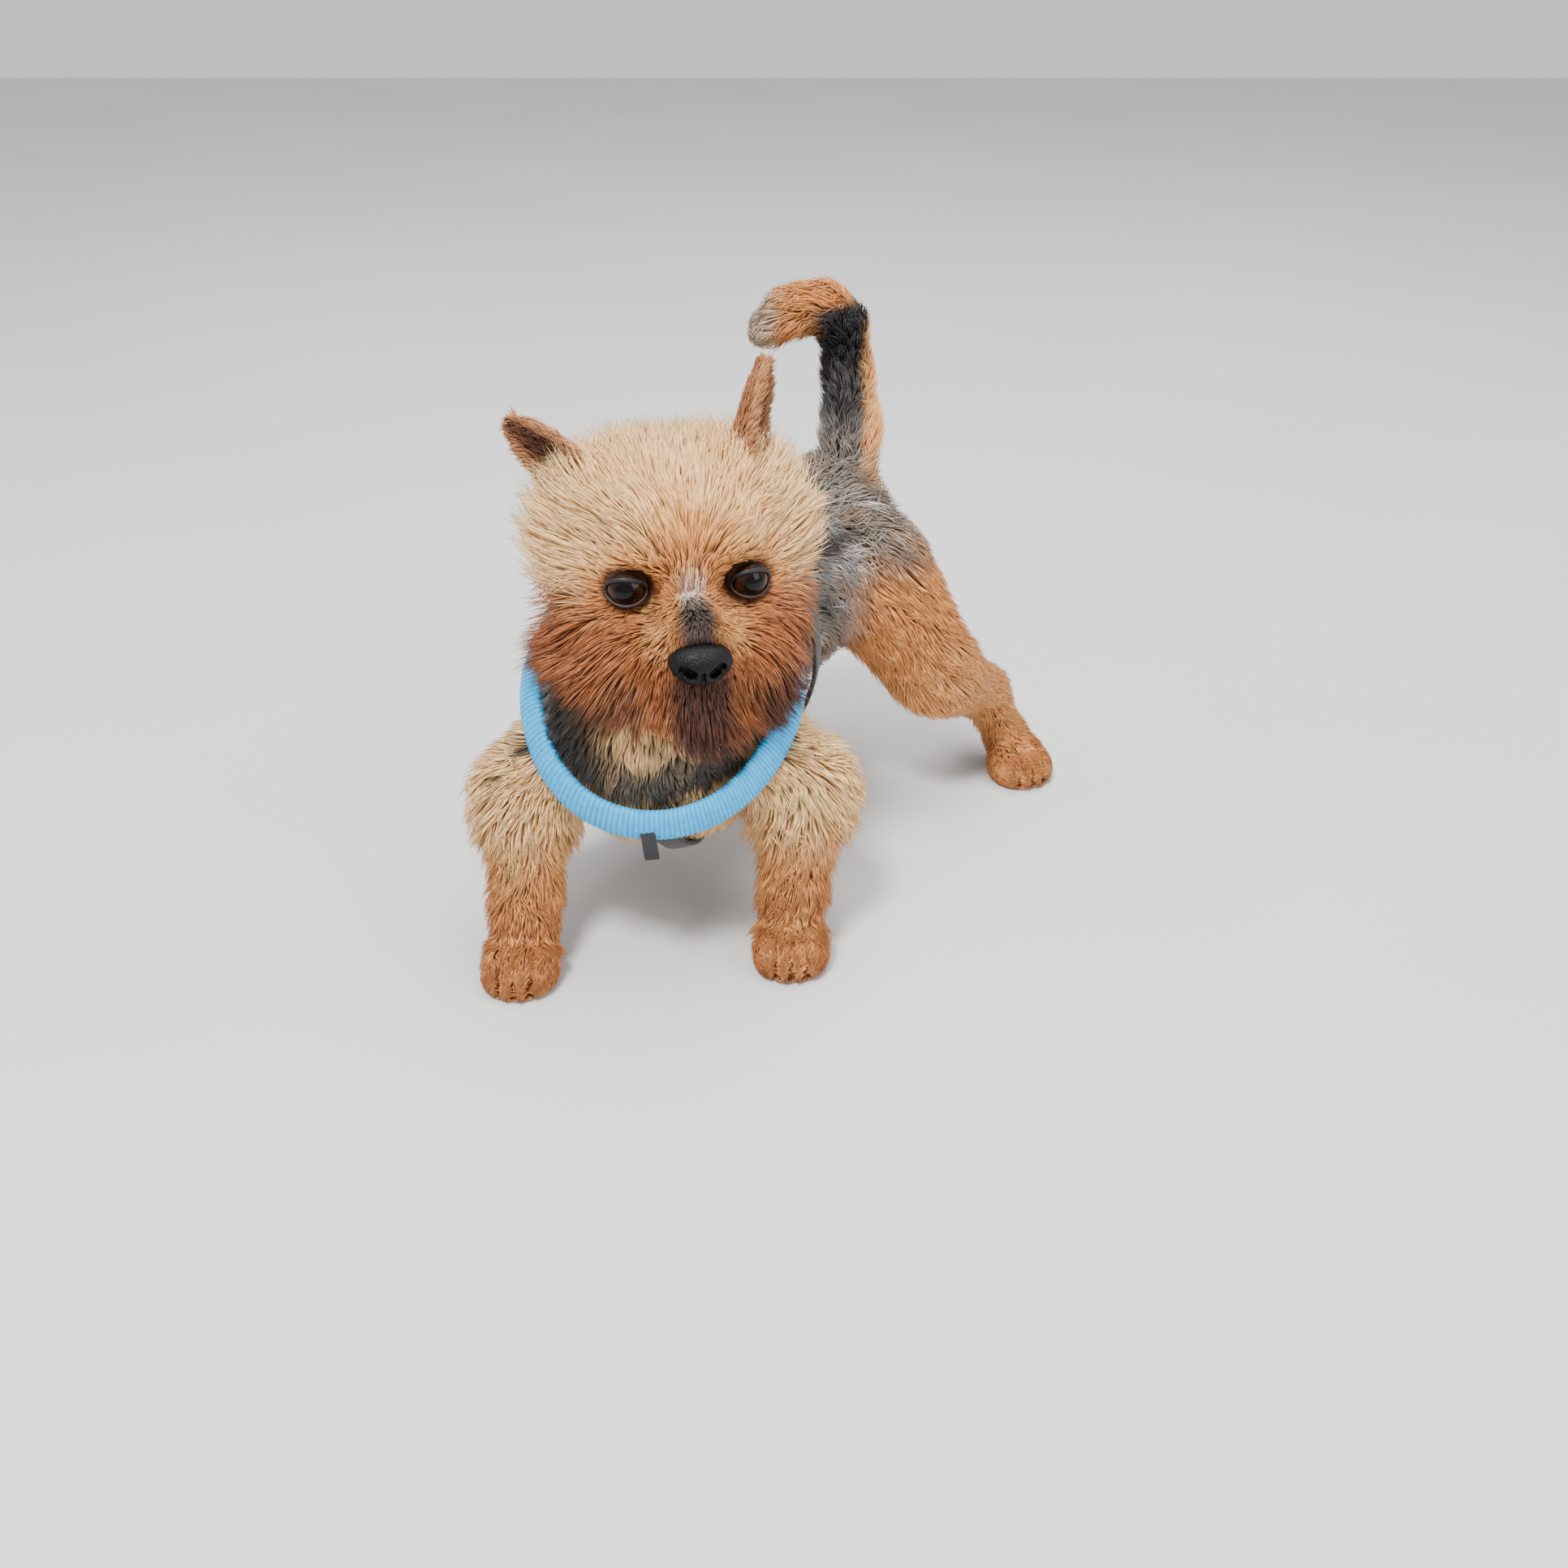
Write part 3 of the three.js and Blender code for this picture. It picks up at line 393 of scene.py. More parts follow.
def give_colour(obj, colours):
    layer = obj.data.color_attributes.new("coat", "FLOAT_COLOR", "POINT")
    rgba = np.ones((len(colours), 4), np.float32)
    rgba[:, :3] = colours
    layer.data.foreach_set("color", rgba.ravel())


def give_uv(obj, uv_of_loops):
    layer = obj.data.uv_layers.new(name="OFBake")
    layer.uv.foreach_set("vector", np.ascontiguousarray(uv_of_loops, np.float32).ravel())


# Unwrap of the skin: each ball or limb has a tile, with the angle round it and the way along it
TILE_START, TILE_SPAN = 0.08, 0.84


def unwrap(p, owner, near_angle=None):
    uv = np.zeros((len(p), 2))
    for n, part in enumerate(parts):
        mine = owner == n
        if not mine.any():
            continue
        if part["kind"] == "ball":
            q = (p[mine] - part["centre"]) @ part["turn"] / part["semi"]
            angle = np.arctan2(q[:, 0], q[:, 1])
            height = q[:, 2] / np.maximum(np.linalg.norm(q, axis=1), 1e-6)
            rise = np.arcsin(np.clip(height, -1, 1)) / math.pi + 0.5
        else:
            along = part["end"] - part["start"]
            axis = unit(along)
            side = unit(np.cross(axis, [0.31, 0.17, 0.93]))
            q = p[mine] - part["start"]
            angle = np.arctan2(q @ side, q @ np.cross(axis, side))
            rise = 0.25 + 0.5 * (q @ axis) / np.linalg.norm(along)
        if near_angle is not None:
            angle = near_angle[mine] + (angle - near_angle[mine] + math.pi) % (2 * math.pi) - math.pi
        u = TILE_START + TILE_SPAN * (angle / (2 * math.pi) + 0.5)
        v = 0.04 + 0.92 * np.clip(rise, 0, 1)
        uv[mine] = np.stack([(n % TILES + np.clip(u, 0, 1)) / TILES, (n // TILES + v) / TILES], axis=1)
    return uv


def angle_from(uv):
    return ((uv[:, 0] * TILES % 1 - TILE_START) / TILE_SPAN - 0.5) * 2 * math.pi


def unwrap_faces(vertices, faces):
    middles = vertices[faces].mean(axis=1)
    owner = distances(middles).argmin(axis=0)
    near = angle_from(unwrap(middles, owner))
    corners = faces.shape[1]
    return unwrap(vertices[faces].reshape(-1, 3), np.repeat(owner, corners), np.repeat(near, corners))


# Course of the harness: rings and a strap that lie on the pressed coat of the trunk, as on the solids
CORE_SHARE = 0.45
BAND_CLEAR = 0.9
RIB = 1.9
COLLAR = {"centre": vec(-43, -58, 105), "side": np.array([1.0, 0, 0]), "rise": unit([0.09, 0.765, 0.644]),
          "width": 12.0, "thickness": 6.0}
GIRTH = {"centre": vec(-22, 9, 95), "side": np.cross(backwards(YAW["ribs"]), UP), "rise": UP,
         "width": 12.0, "thickness": 3.0}
STRAP = {"width": 9.0, "thickness": 2.6}


def core_at(p):
    """Distance to the trunk with its coat pressed down."""
    rows = distances(p)
    mine = [n for n, group in enumerate(GROUPS) if group in TRUNK]
    least = rows[mine[0]]
    for n in mine[1:]:
        least = smooth_least(least, rows[n])
    return least - CORE_SHARE * (shares_of(rows).T @ COATS)


def ring_path(ring, steps):
    angles = 2 * math.pi * np.arange(steps) / steps
    ray = np.cos(angles)[:, None] * ring["side"] + np.sin(angles)[:, None] * ring["rise"]
    reach = np.full(steps, 90.0)
    for _ in range(30):
        reach -= 0.8 * (core_at(ring["centre"] + ray * reach[:, None]) - ring["thickness"] / 2 - BAND_CLEAR)
    for _ in range(3):
        reach = (np.roll(reach, 1) + 2 * reach + np.roll(reach, -1)) / 4
    return ring["centre"] + ray * reach[:, None]


def core_slope(p, step=6.0):
    steps = step * np.eye(3)
    return unit(np.stack([core_at(p + steps[k]) - core_at(p - steps[k]) for k in range(3)], axis=1))


COLLAR_PATH = ring_path(COLLAR, 1440)
GIRTH_PATH = ring_path(GIRTH, 200)


def strap_path():
    line = COLLAR_PATH[COLLAR_PATH[:, 2].argmin()]
    line = line + (GIRTH_PATH[GIRTH_PATH[:, 2].argmin()] - line) * np.linspace(0, 1, 60)[:, None]
    for _ in range(20):
        gap = core_at(line) - STRAP["thickness"] / 2 - BAND_CLEAR
        line = line - core_slope(line, 2.0) * gap[:, None]
    return line


STRAP_PATH = strap_path()
band_tree = KDTree(len(COLLAR_PATH) + len(GIRTH_PATH))
for index, point in enumerate(np.concatenate([COLLAR_PATH, GIRTH_PATH])):
    band_tree.insert(point, index)
band_tree.balance()


# From here on neck and chest are slimmer under the chin than the solids are, with fuller cheeks, temples
# and beard in front of them. The courses of the bands stay as they were found on the solids' shape.
def dress_face():
    neck = next(part for part in parts if part["group"] == "neck")
    chest = next(part for part in parts if part["group"] == "chest")
    neck["radii"], neck["coat"], chest["coat"] = (30, 33), 10, 11
    for out in SIDES.values():
        head_ball(out * 23, 14, -19, (15, 18, 16), 20)
        head_ball(out * 17, -5, -28, (12, 13, 11), 18)
        head_ball(out * 25, 33, 1, (16, 20, 18), 25)
    limb("jaw", on_head(0, 2, -36), on_head(0, -21, -37), 12, 8, 17, "head")


dress_face()
COATS = np.array([part["coat"] for part in parts], np.float32)
GROUPS = [part["group"] for part in parts]
TILES = math.ceil(math.sqrt(len(parts)))


def from_bands(p):
    """Distance to the nearest point on the neck band or the girth strap."""
    return np.array([band_tree.find(point)[2] for point in p.reshape(-1, 3)]).reshape(p.shape[:-1])


# Colours of the coat
def rgb(red, green, blue):
    c = np.array([red, green, blue]) / 255
    return np.where(c < 0.04045, c / 12.92, ((c + 0.055) / 1.055) ** 2.4)


CREAM, BLOND, PALE = rgb(255, 207, 145), rgb(240, 176, 106), rgb(252, 240, 224)
TAN, RUST, MAHOGANY = rgb(218, 146, 82), rgb(176, 102, 54), rgb(82, 46, 30)
BLACK, SLATE, SILVER, GREY = rgb(26, 23, 24), rgb(66, 62, 62), rgb(214, 212, 214), rgb(142, 132, 122)
BROWN = rgb(140, 110, 82)
WAVES = [(unit(rng.normal(size=3)), rng.uniform(0, 6.28)) for _ in range(10)]


def ripple(p, length):
    total = sum(np.sin(2 * math.pi * (p @ way) / length * (0.7 + 0.07 * n) + phase)
                for n, (way, phase) in enumerate(WAVES))
    return total / len(WAVES) ** 0.5


def mix(colours, other, weight):
    weight = np.clip(np.asarray(weight), 0, 1)
    return colours + (other - colours) * weight.reshape(-1, 1)


def bump(x, centre, half, soft):
    return 1 - smooth(np.abs(x - centre), half, half + soft)


def head_colour(p):
    q = in_head(p)
    x, y, z = np.abs(q[:, 0]), q[:, 1], q[:, 2]
    warp = 3 * ripple(p, 16)
    c = np.tile(TAN, (len(p), 1))
    c = mix(c, RUST, smooth(-z + warp, 2, 16) * (1 - smooth(y, 28, 50)) * 0.95)
    c = mix(c, BLOND, smooth(z + 0.5 * x - 12 + warp, 1, 14))
    c = mix(c, CREAM, smooth(z + 0.55 * x + 0.2 * y - 13 + warp, 12, 29) * (0.72 + 0.15 * ripple(p, 21)))
    c = mix(c, TAN, bump(x, 0, 8, 13) * bump(z, 14, 6, 10) * (1 - smooth(y, 12, 30)) * 0.75)
    c = mix(c, CREAM, smooth(x, 36, 48) * smooth(z, -18, -4))
    c = mix(c, RUST, smooth(x, 22, 34) * bump(z, -16, 8, 9) * (1 - smooth(y, 26, 44)) * 0.5)
    c = mix(c, BLOND, bump(x, 14, 4, 6) * bump(z, -12, 4, 6) * (1 - smooth(y, 0, 14)) * 0.6)
    c = mix(c, MAHOGANY, smooth(-z + 0.7 * warp, 22, 40) * (1 - smooth(y, 14, 44)) * 0.9)
    c = mix(c, BLACK, smooth(-z + 0.5 * warp, 38, 50) * bump(x, 0, 20, 14) * (1 - smooth(y, -8, 10)) * 0.85)
    c = mix(c, RUST, bump(x, 13, 7, 7) * smooth(-z, 11, 20) * (1 - smooth(y, -6, 8)) * 0.7)
    c = mix(c, PALE, bump(x, 0, 1.2, 6.5) * bump(z + 0.5 * warp, 2, 4, 9) * (1 - smooth(y, 2, 10)) * 0.75)
    c = mix(c, rgb(52, 33, 34), bump(x, 0, 3, 7) * (1 - smooth(y, -21, -9)) * smooth(z, -17, -12) * 0.9)
    c = mix(c, MAHOGANY, bump(x, 0, 8, 8) * (1 - smooth(y, -26, -14)) * smooth(-z, 19, 26))
    eye = np.hypot(x - EYE_SPACING / 2, z * 1.25)
    c = mix(c, RUST, (1 - smooth(eye, 9, 16)) * (1 - smooth(y, 5, 14)) * 0.5)
    return mix(c, MAHOGANY * 0.7, (1 - smooth(eye, 8, 12)) * (1 - smooth(y, 3, 10)))


def trunk_colour(p):
    x, y, z = (p - SHIFT).T
    c = mix(np.tile(GREY, (len(p), 1)), SLATE, 0.25 + 0.45 * ripple(p, 26))
    c = mix(c, SILVER, smooth(ripple(p + 40, 19), 0.4, 1.6) * 0.75)
    c = mix(c, BROWN, smooth(ripple(p - 30, 34), 0.3, 1.4) * 0.7)
    c = mix(c, SILVER, bump(x, 32, 10, 12) * bump(y, 50, 12, 14) * bump(z, 104, 10, 14) * 0.8)
    c = mix(c, TAN, smooth(-z, -78, -58) * smooth(y, -10, 20) * 0.8)
    return mix(c, CREAM, 1 - smooth(y + 0.35 * z, -22, 8))


def ring_colour(c, p):
    """Hair inside the neck band: cream under the chin, slate along the band, black on the right."""
    x, y, _ = (p - SHIFT).T
    height = (p - COLLAR["centre"]) @ np.cross(COLLAR["side"], COLLAR["rise"]) + 3 * ripple(p, 15)
    inside = smooth(height, -5, 1) * (1 - smooth(y, 0, 25))
    c = mix(c, CREAM, inside)
    c = mix(c, SLATE * 0.75, inside * (1 - smooth(height, 9, 22)) * 0.96)
    c = mix(c, BROWN, inside * smooth(height, 3, 12) * smooth(x, -16, 2) * 0.5)
    c = mix(c, BLACK, inside * smooth(-x, 56, 70) * (1 - smooth(y, -30, 0)) * 0.95)
    return mix(c, SILVER, inside * smooth(-x, 80, 92) * smooth(ripple(p, 8), -0.6, 0.8) * 0.8)


def leg_colour(p, group):
    z = p[:, 2] - SHIFT[2]
    if group == "thigh":
        upper = smooth(z, 104, 126) * 0.8 + 0.12 * ripple(p, 17)
        return mix(np.tile(TAN * 1.12, (len(p), 1)), GREY, upper)
    if group == "shank":
        return mix(np.tile(TAN, (len(p), 1)), BLOND, 0.4 + 0.3 * ripple(p, 15))
    c = mix(np.tile(CREAM, (len(p), 1)), TAN, smooth(-z, -62, -34))
    c = mix(c, RUST, smooth(-z, -40, -22) * (0.5 + 0.2 * ripple(p, 14)))
    return mix(c, BLOND, smooth(ripple(p, 10), 0.2, 1.4) * 0.5)


def tail_colour(p):
    x, _, z = (p - SHIFT).T
    c = mix(np.tile(GREY, (len(p), 1)), SLATE, smooth(z, 150, 178))
    c = mix(c, BLACK, smooth(z, 184, 200) * (1 - smooth(-x, -30, -20)))
    c = mix(c, BLOND, smooth(x, 38, 44) * (1 - smooth(z, 205, 215)))
    c = mix(c, TAN, smooth(z, 219, 225))
    c = mix(c, TAN, smooth(-x, -24, -12))
    return mix(c, rgb(196, 172, 146), smooth(-x, -6, 4))


def coat_colour(p, owner):
    c = np.tile(TAN, (len(p), 1))
    names = np.array(GROUPS)[owner]
    for group in set(GROUPS):
        mine = names == group
        if not mine.any():
            continue
        if group in ("head", "jaw"):
            c[mine] = head_colour(p[mine])
        elif group in TRUNK:
            c[mine] = ring_colour(trunk_colour(p[mine]), p[mine])
        elif group == "tail":
            c[mine] = tail_colour(p[mine])
        else:
            c[mine] = ring_colour(leg_colour(p[mine], group), p[mine])
    return c


def blended_colour(p):
    """Colour of the four nearest parts, mixed by how near each is, so that no edge shows between parts."""
    rows = distances(p)
    order = np.argsort(rows, axis=0)[:4]
    near = np.take_along_axis(rows, order, axis=0)
    weights = np.exp((near[0] - near) / COLOUR_BLEND)
    weights /= weights.sum(axis=0)
    return sum(weight[:, None] * coat_colour(p, owner) for weight, owner in zip(weights, order))


# Materials
def set_inputs(node, values):
    for key, value in values.items():
        node.inputs[key.replace("_", " ")].default_value = value


def material(name, roughness, **values):
    made = bpy.data.materials.new(name)
    made.use_nodes = True
    shader = made.node_tree.nodes["Principled BSDF"]
    set_inputs(shader, {"Roughness": roughness, **values})
    return made, made.node_tree, shader


def add_node(tree, kind, **values):
    node = tree.nodes.new("ShaderNode" + kind)
    set_inputs(node, values)
    return node


def add_texture(tree, kind, **values):
    """A texture laid over the body in its own frame."""
    texture = add_node(tree, kind, **values)
    tree.links.new(add_node(tree, "TexCoord").outputs["Object"], texture.inputs["Vector"])
    return texture


def link_noise(tree, scale, detail, low, high):
    noise = add_texture(tree, "TexNoise", Scale=scale, Detail=detail)
    spread = add_node(tree, "MapRange", From_Min=0.3, From_Max=0.7, To_Min=low, To_Max=high)
    tree.links.new(noise.outputs["Fac"], spread.inputs["Value"])
    return noise, spread


def link_ramp(tree, shader, source, *stops):
    ramp = add_node(tree, "ValToRGB")
    while len(ramp.color_ramp.elements) < len(stops):
        ramp.color_ramp.elements.new(0.5)
    for element, (at, colour) in zip(ramp.color_ramp.elements, stops):
        element.position, element.color = at, (*colour, 1)
    tree.links.new(source, ramp.inputs["Fac"])
    tree.links.new(ramp.outputs["Color"], shader.inputs["Base Color"])


def add_bump(tree, shader, height, distance, strength):
    node = add_node(tree, "Bump", Strength=strength, Distance=distance)
    tree.links.new(height, node.inputs["Height"])
    tree.links.new(node.outputs["Normal"], shader.inputs["Normal"])


def hair_material(name, darker):
    """Takes its colour from the mesh, varied from darker to a little lighter by a fine noise."""
    made, tree, shader = material(name, 0.5, Sheen_Weight=0.04, Sheen_Roughness=0.4, Specular_IOR_Level=0.35)
    colour = add_node(tree, "Attribute")
    colour.attribute_name = "coat"
    _, spread = link_noise(tree, 420, 3, darker, 1.12)
    vary = add_node(tree, "Mix")
    vary.data_type, vary.blend_type = "RGBA", "MULTIPLY"
    vary.inputs["Factor"].default_value = 1.0
    tree.links.new(colour.outputs["Color"], vary.inputs["A"])
    tree.links.new(spread.outputs["Result"], vary.inputs["B"])
    tree.links.new(vary.outputs["Result"], shader.inputs["Base Color"])
    noise, _ = link_noise(tree, 900, 2, 0, 1)
    add_bump(tree, shader, noise.outputs["Fac"], 0.0002, 0.5)
    return made


HAIR = hair_material("hair", 0.84)
HIDE = hair_material("hide", 0.6)


# Skin. Its colour is the coat's colour at 0.7, as painted shade in the gaps between the tufts
SKIN_ROOM, SKIN_SHADE = 6, 0.7


def make_skin():
    low, high = np.array(CAD_BOX[0]) / MM - SKIN_ROOM, np.array(CAD_BOX[1]) / MM + SKIN_ROOM
    vertices, faces = net(skin_at, low, high, SKIN_CELL)
    vertices[:, 2] = np.maximum(vertices[:, 2], 0)
    skin = mesh_object("skin", vertices, faces)
    give_colour(skin, blended_colour(vertices) * SKIN_SHADE)
    give_uv(skin, unwrap_faces(vertices, faces))
    skin.data.materials.append(HIDE)
    flesh = [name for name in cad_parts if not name.startswith(("eye", "ear", "nose", "harness"))]
    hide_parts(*flesh)
    return vertices, faces


# Tufts. Each is a thin, bent, three-sided blade; its colour is darkened at the root as painted shade deep in
# the coat, and gets lighter towards the tip
STYLES = {
    # group: tufts to a square mm, width, length for each mm of coat, start of the rise, curl, lift at the tip
    "head": (1.45, 0.72, 1.35, 0.25, 0.14, 1.3),
    "jaw": (1.5, 0.62, 0.8, 0.3, 0.25, 1.15),
    "neck": (0.9, 0.95, 1.35, 0.2, 0.2, 1.0),
    "chest": (0.9, 0.95, 1.4, 0.2, 0.2, 1.0),
    "ribs": (0.62, 1.05, 1.7, 0.15, 0.24, 0.85),
    "loin": (0.62, 1.05, 1.7, 0.15, 0.24, 0.85),
    "hips": (0.65, 1.0, 1.7, 0.15, 0.24, 0.85),
    "upper_arm": (0.95, 0.9, 1.35, 0.3, 0.24, 1.3),
    "forearm": (1.1, 0.8, 1.5, 0.2, 0.22, 0.95),
    "thigh": (0.8, 0.95, 1.6, 0.2, 0.22, 0.9),
    "shank": (1.1, 0.8, 1.5, 0.2, 0.2, 0.9),
    "paw": (1.5, 1.15, 2.2, 0.3, 0.2, 1.3),
    "tail": (1.5, 0.75, 1.7, 0.25, 0.2, 1.0),
}
STYLE = np.array([STYLES[group] for group in GROUPS])
DENSITY, WIDTH, LENGTH, RISE_START, CURL, LIFT = range(6)
SHORT_COAT = 5.0
LEAST_HEIGHT = 1.2
LEAST_ROOT_HEIGHT = 0.8
ROOT_DEPTH = 0.4
BAND_ROOM = 5.6
STRAY_OVER_BAND = 0.05
MOST_TRIANGLES = 190000


def scatter(vertices, faces):
    """Roots of the tufts, spread at random over the skin."""
    triangles = np.concatenate([faces[:, [0, 1, 2]], faces[:, [0, 2, 3]]])
    a, b, c = (vertices[triangles[:, k]] for k in range(3))
    area = np.linalg.norm(np.cross(b - a, c - a), axis=1) / 2
    middle = (a + b + c) / 3
    coat, _, owner = coat_at(middle)
    density = STYLE[owner, DENSITY] * np.where(coat < SHORT_COAT, 2.0, 1.0) * HAIR_SHARE
    density *= (in_clearing(middle) > 0.2) & (middle[:, 2] > LEAST_ROOT_HEIGHT)
    count = np.floor(area * density + rng.random(len(area))).astype(int)
    pick = np.repeat(np.arange(len(triangles)), count)
    u, v = np.sqrt(rng.random(len(pick))), rng.random(len(pick))
    return (1 - u)[:, None] * a[pick] + (u * (1 - v))[:, None] * b[pick] + (u * v)[:, None] * c[pick]


HANGS = {"jaw": 0.9, "chest": 0.2, "neck": 0.2, "upper_arm": 0.3, "forearm": 0.1, "thigh": 0.1}
HANG = np.array([HANGS.get(group, 0.0) for group in GROUPS])
BEARD_MIDDLE = on_head(0, -22, -45)


def hang_of(roots, owner):
    """How far the tips leave the lie of the coat and hang straight down."""
    q = in_head(roots)
    face = np.isin(np.array(GROUPS)[owner], ("head", "jaw"))
    lower = smooth(-q[:, 2], 12, 27) * (1 - smooth(q[:, 1], 25, 48))
    return np.where(face, np.maximum(HANG[owner], 0.85 * lower), HANG[owner])


def grow(roots, steps):
    """Path of each tuft: its points, the directions out and along the skin at each, and its part."""
    coat, lie, owner = coat_at(roots)
    style = STYLE[owner]
    wild = rng.random(len(roots))
    free = smooth(from_bands(roots), 9, 30)
    bare = 1 - smooth(in_clearing(roots), 1, 15)
    coat = coat * (1 - 0.82 * bare)
    hang = hang_of(roots, owner)[:, None]
    behind = np.isin(np.array(GROUPS)[owner], ("chest", "neck", "upper_arm"))
    under_beard = (1 - smooth(np.linalg.norm(roots - BEARD_MIDDLE, axis=1), 16, 38)) * behind
    coat = coat * (1 - 0.7 * under_beard)
    length = (coat * style[:, LENGTH] + 2.5) * (0.7 + 0.5 * wild) * (0.55 + 0.45 * free)
    reach = coat * style[:, LIFT] * (0.62 + 0.4 * rng.random(len(roots))) * (0.6 + 0.4 * free)
    sway = np.stack([ripple(roots, 11), ripple(roots + 70, 9), ripple(roots - 50, 10)], axis=1)
    stray = rng.normal(size=roots.shape)
    p = roots.copy()
    path, outs, lies = [], [], []
    for step in range(steps + 1):
        t = step / steps
        base, slope = slope_at(p)
        out = unit(slope)
        level = reach * t ** (0.6 + 0.9 * style[:, RISE_START]) - ROOT_DEPTH * (1 - t)
        rise = (level - base)[:, None]
        p = p + out * np.where(rise < 0, rise * (1 - hang), rise)
        if step < 2:
            lie = coat_at(p)[1]
        flat = lie + (sway * style[:, CURL, None] * 1.6 + stray * 0.09) * (0.5 + t)
        flat = unit(flat - out * (flat * out).sum(axis=1, keepdims=True))
        p[:, 2] = np.maximum(p[:, 2], LEAST_HEIGHT)
        path.append(p.copy())
        outs.append(out)
        lies.append(flat)
        way = unit(flat * (1 - 0.7 * hang * t) - UP * hang * (0.3 + t))
        p = p + way * (length / steps)[:, None]
        p[:, 2] = np.maximum(p[:, 2], LEAST_HEIGHT)
    return np.stack(path, axis=1), np.stack(outs, axis=1), np.stack(lies, axis=1), owner


def clump(path, size=9, pull=0.75, reach=9):
    """Draw the tips of neighbouring tufts together, so many to a clump."""
    centres = rng.choice(len(path), max(len(path) // size, 1), replace=False)
    tree = KDTree(len(centres))
    for i, n in enumerate(centres):
        tree.insert(path[n, 0], i)
    tree.balance()
    near = centres[np.array([tree.find(point)[1] for point in path[:, 0]])]
    steps = path.shape[1] - 1
    for step in range(1, steps + 1):
        t = step / steps
        offset = path[near, step] - path[:, step]
        far = np.linalg.norm(offset, axis=1, keepdims=True)
        path[:, step] += offset * pull * t * t * np.exp(-far / reach)


PROFILES = {2: (0.85, 1.0), 3: (0.75, 1.0, 0.8)}
PATCH = 0.0015


def tuft_mesh(name, path, outs, lies, width, colours, root_uv):
    """Three-sided blades, with a ring of corners at each step and a tip. Gives the number of triangles."""
    count, rings = path.shape[0], path.shape[1] - 1
    across = unit(np.cross(lies, outs))
    half = (width[:, None] * np.array(PROFILES[rings]))[..., None] / 2
    centre, side, out = path[:, :rings], across[:, :rings], outs[:, :rings]
    corners = np.stack([centre - side * half, centre + side * half, centre + out * half * 0.8], axis=2)
    vertices = np.concatenate([corners.reshape(count, rings * 3, 3), path[:, -1:]], axis=1)
    per = rings * 3 + 1
    faces = [[0, 1, 2]]
    for ring in range(rings - 1):
        for j in range(3):
            a, b = ring * 3 + j, ring * 3 + (j + 1) % 3
            faces += [[a, a + 3, b + 3], [a, b + 3, b]]
    for j in range(3):
        faces.append([(rings - 1) * 3 + j, per - 1, (rings - 1) * 3 + (j + 1) % 3])
    faces = np.array(faces)
    along = np.concatenate([np.repeat(np.arange(rings) / rings, 3), [1.0]])
    # Painted shade: each tuft is darkened to 0.72 at the root and lightened to 1.08 at the tip, standing in
    # for shade deep in the coat
    painted_shade = 0.72 + 0.36 * along ** 0.8
    tints = colours[:, None, :] * painted_shade[None, :, None]
    all_faces = (faces[None] + np.arange(count)[:, None, None] * per).reshape(-1, 3)
    patch = PATCH * np.stack([np.cos(6.28 * np.arange(per) / 3) * (1 - along), along * 2 - 1], axis=1)
    uv = root_uv[:, None] + patch[None]
    obj = mesh_object(name, vertices.reshape(-1, 3), all_faces)
    give_colour(obj, tints.reshape(-1, 3))
    give_uv(obj, uv.reshape(-1, 2)[all_faces.ravel()])
    obj.data.materials.append(HAIR)
    return len(all_faces)


REGIONS = {
    "head": ("head",), "beard": ("jaw",), "neck": ("neck",), "chest": ("chest",),
    "back": ("ribs", "loin", "hips"), "forelegs": ("upper_arm", "forearm"), "hindlegs": ("thigh", "shank"),
    "paws": ("paw",), "tail": ("tail",),
}


def make_coat(vertices, faces):
    roots = scatter(vertices, faces)
    coat, _, owner = coat_at(roots)
    total = 0
    for region, groups in REGIONS.items():
        mine = np.isin(np.array(GROUPS)[owner], groups)
        for short in (True, False):
            chosen = roots[mine & ((coat < SHORT_COAT) == short)]
            if not len(chosen):
                continue
            steps = 2 if short else 3
            path, outs, lies, own = grow(chosen, steps)
            clear = (from_bands(path) > BAND_ROOM).all(axis=1) | (rng.random(len(chosen)) < STRAY_OVER_BAND)
            clear &= (in_clearing(path.reshape(-1, 3)).reshape(path.shape[:2]) > 0).all(axis=1)
            chosen, path, outs, lies, own = (values[clear] for values in (chosen, path, outs, lies, own))
            if not short:
                clump(path)
            width = STYLE[own, WIDTH] * (0.75 + 0.5 * rng.random(len(chosen))) * (0.62 if short else 1.0)
            tone = 0.82 + 0.36 * rng.random((len(chosen), 1)) + 0.04 * rng.normal(size=(len(chosen), 3))
            shown = head_colour if region in ("head", "beard") else blended_colour
            colours = np.clip(shown(path[:, path.shape[1] // 2]) * tone, 0.002, 1)
            uv = unwrap(chosen, own)
            triangles = len(chosen) * (steps * 6 - 2)
            pieces = max(1, math.ceil(triangles / MOST_TRIANGLES))
            order = np.argsort(chosen[:, 1], kind="stable")
            for k, some in enumerate(np.array_split(order, pieces)):
                name = f"coat_{region}{'_short' if short else ''}_{k + 1}"
                of_tufts = (values[some] for values in (path, outs, lies, width, colours, uv))
                total += tuft_mesh(name, *of_tufts)
    print("coat triangles", total, "tufts", len(roots))


# Eyes with a dark iris and a clear bulge, and their lids
def eye_material():
    made, tree, shader = material("eye", 0.04, Specular_IOR_Level=0.2)
    place, split = add_node(tree, "UVMap"), add_node(tree, "SeparateXYZ")
    place.uv_map = "OFBake"
    tree.links.new(place.outputs["UV"], split.inputs[0])
    link_ramp(tree, shader, split.outputs["Y"],
              (0.0, BLACK * 0.15), (0.30, BLACK * 0.15), (0.36, rgb(34, 17, 9)), (0.56, rgb(52, 27, 14)),
              (0.63, rgb(18, 9, 6)), (0.72, rgb(44, 28, 22)), (1.0, rgb(120, 96, 84)))
    return made


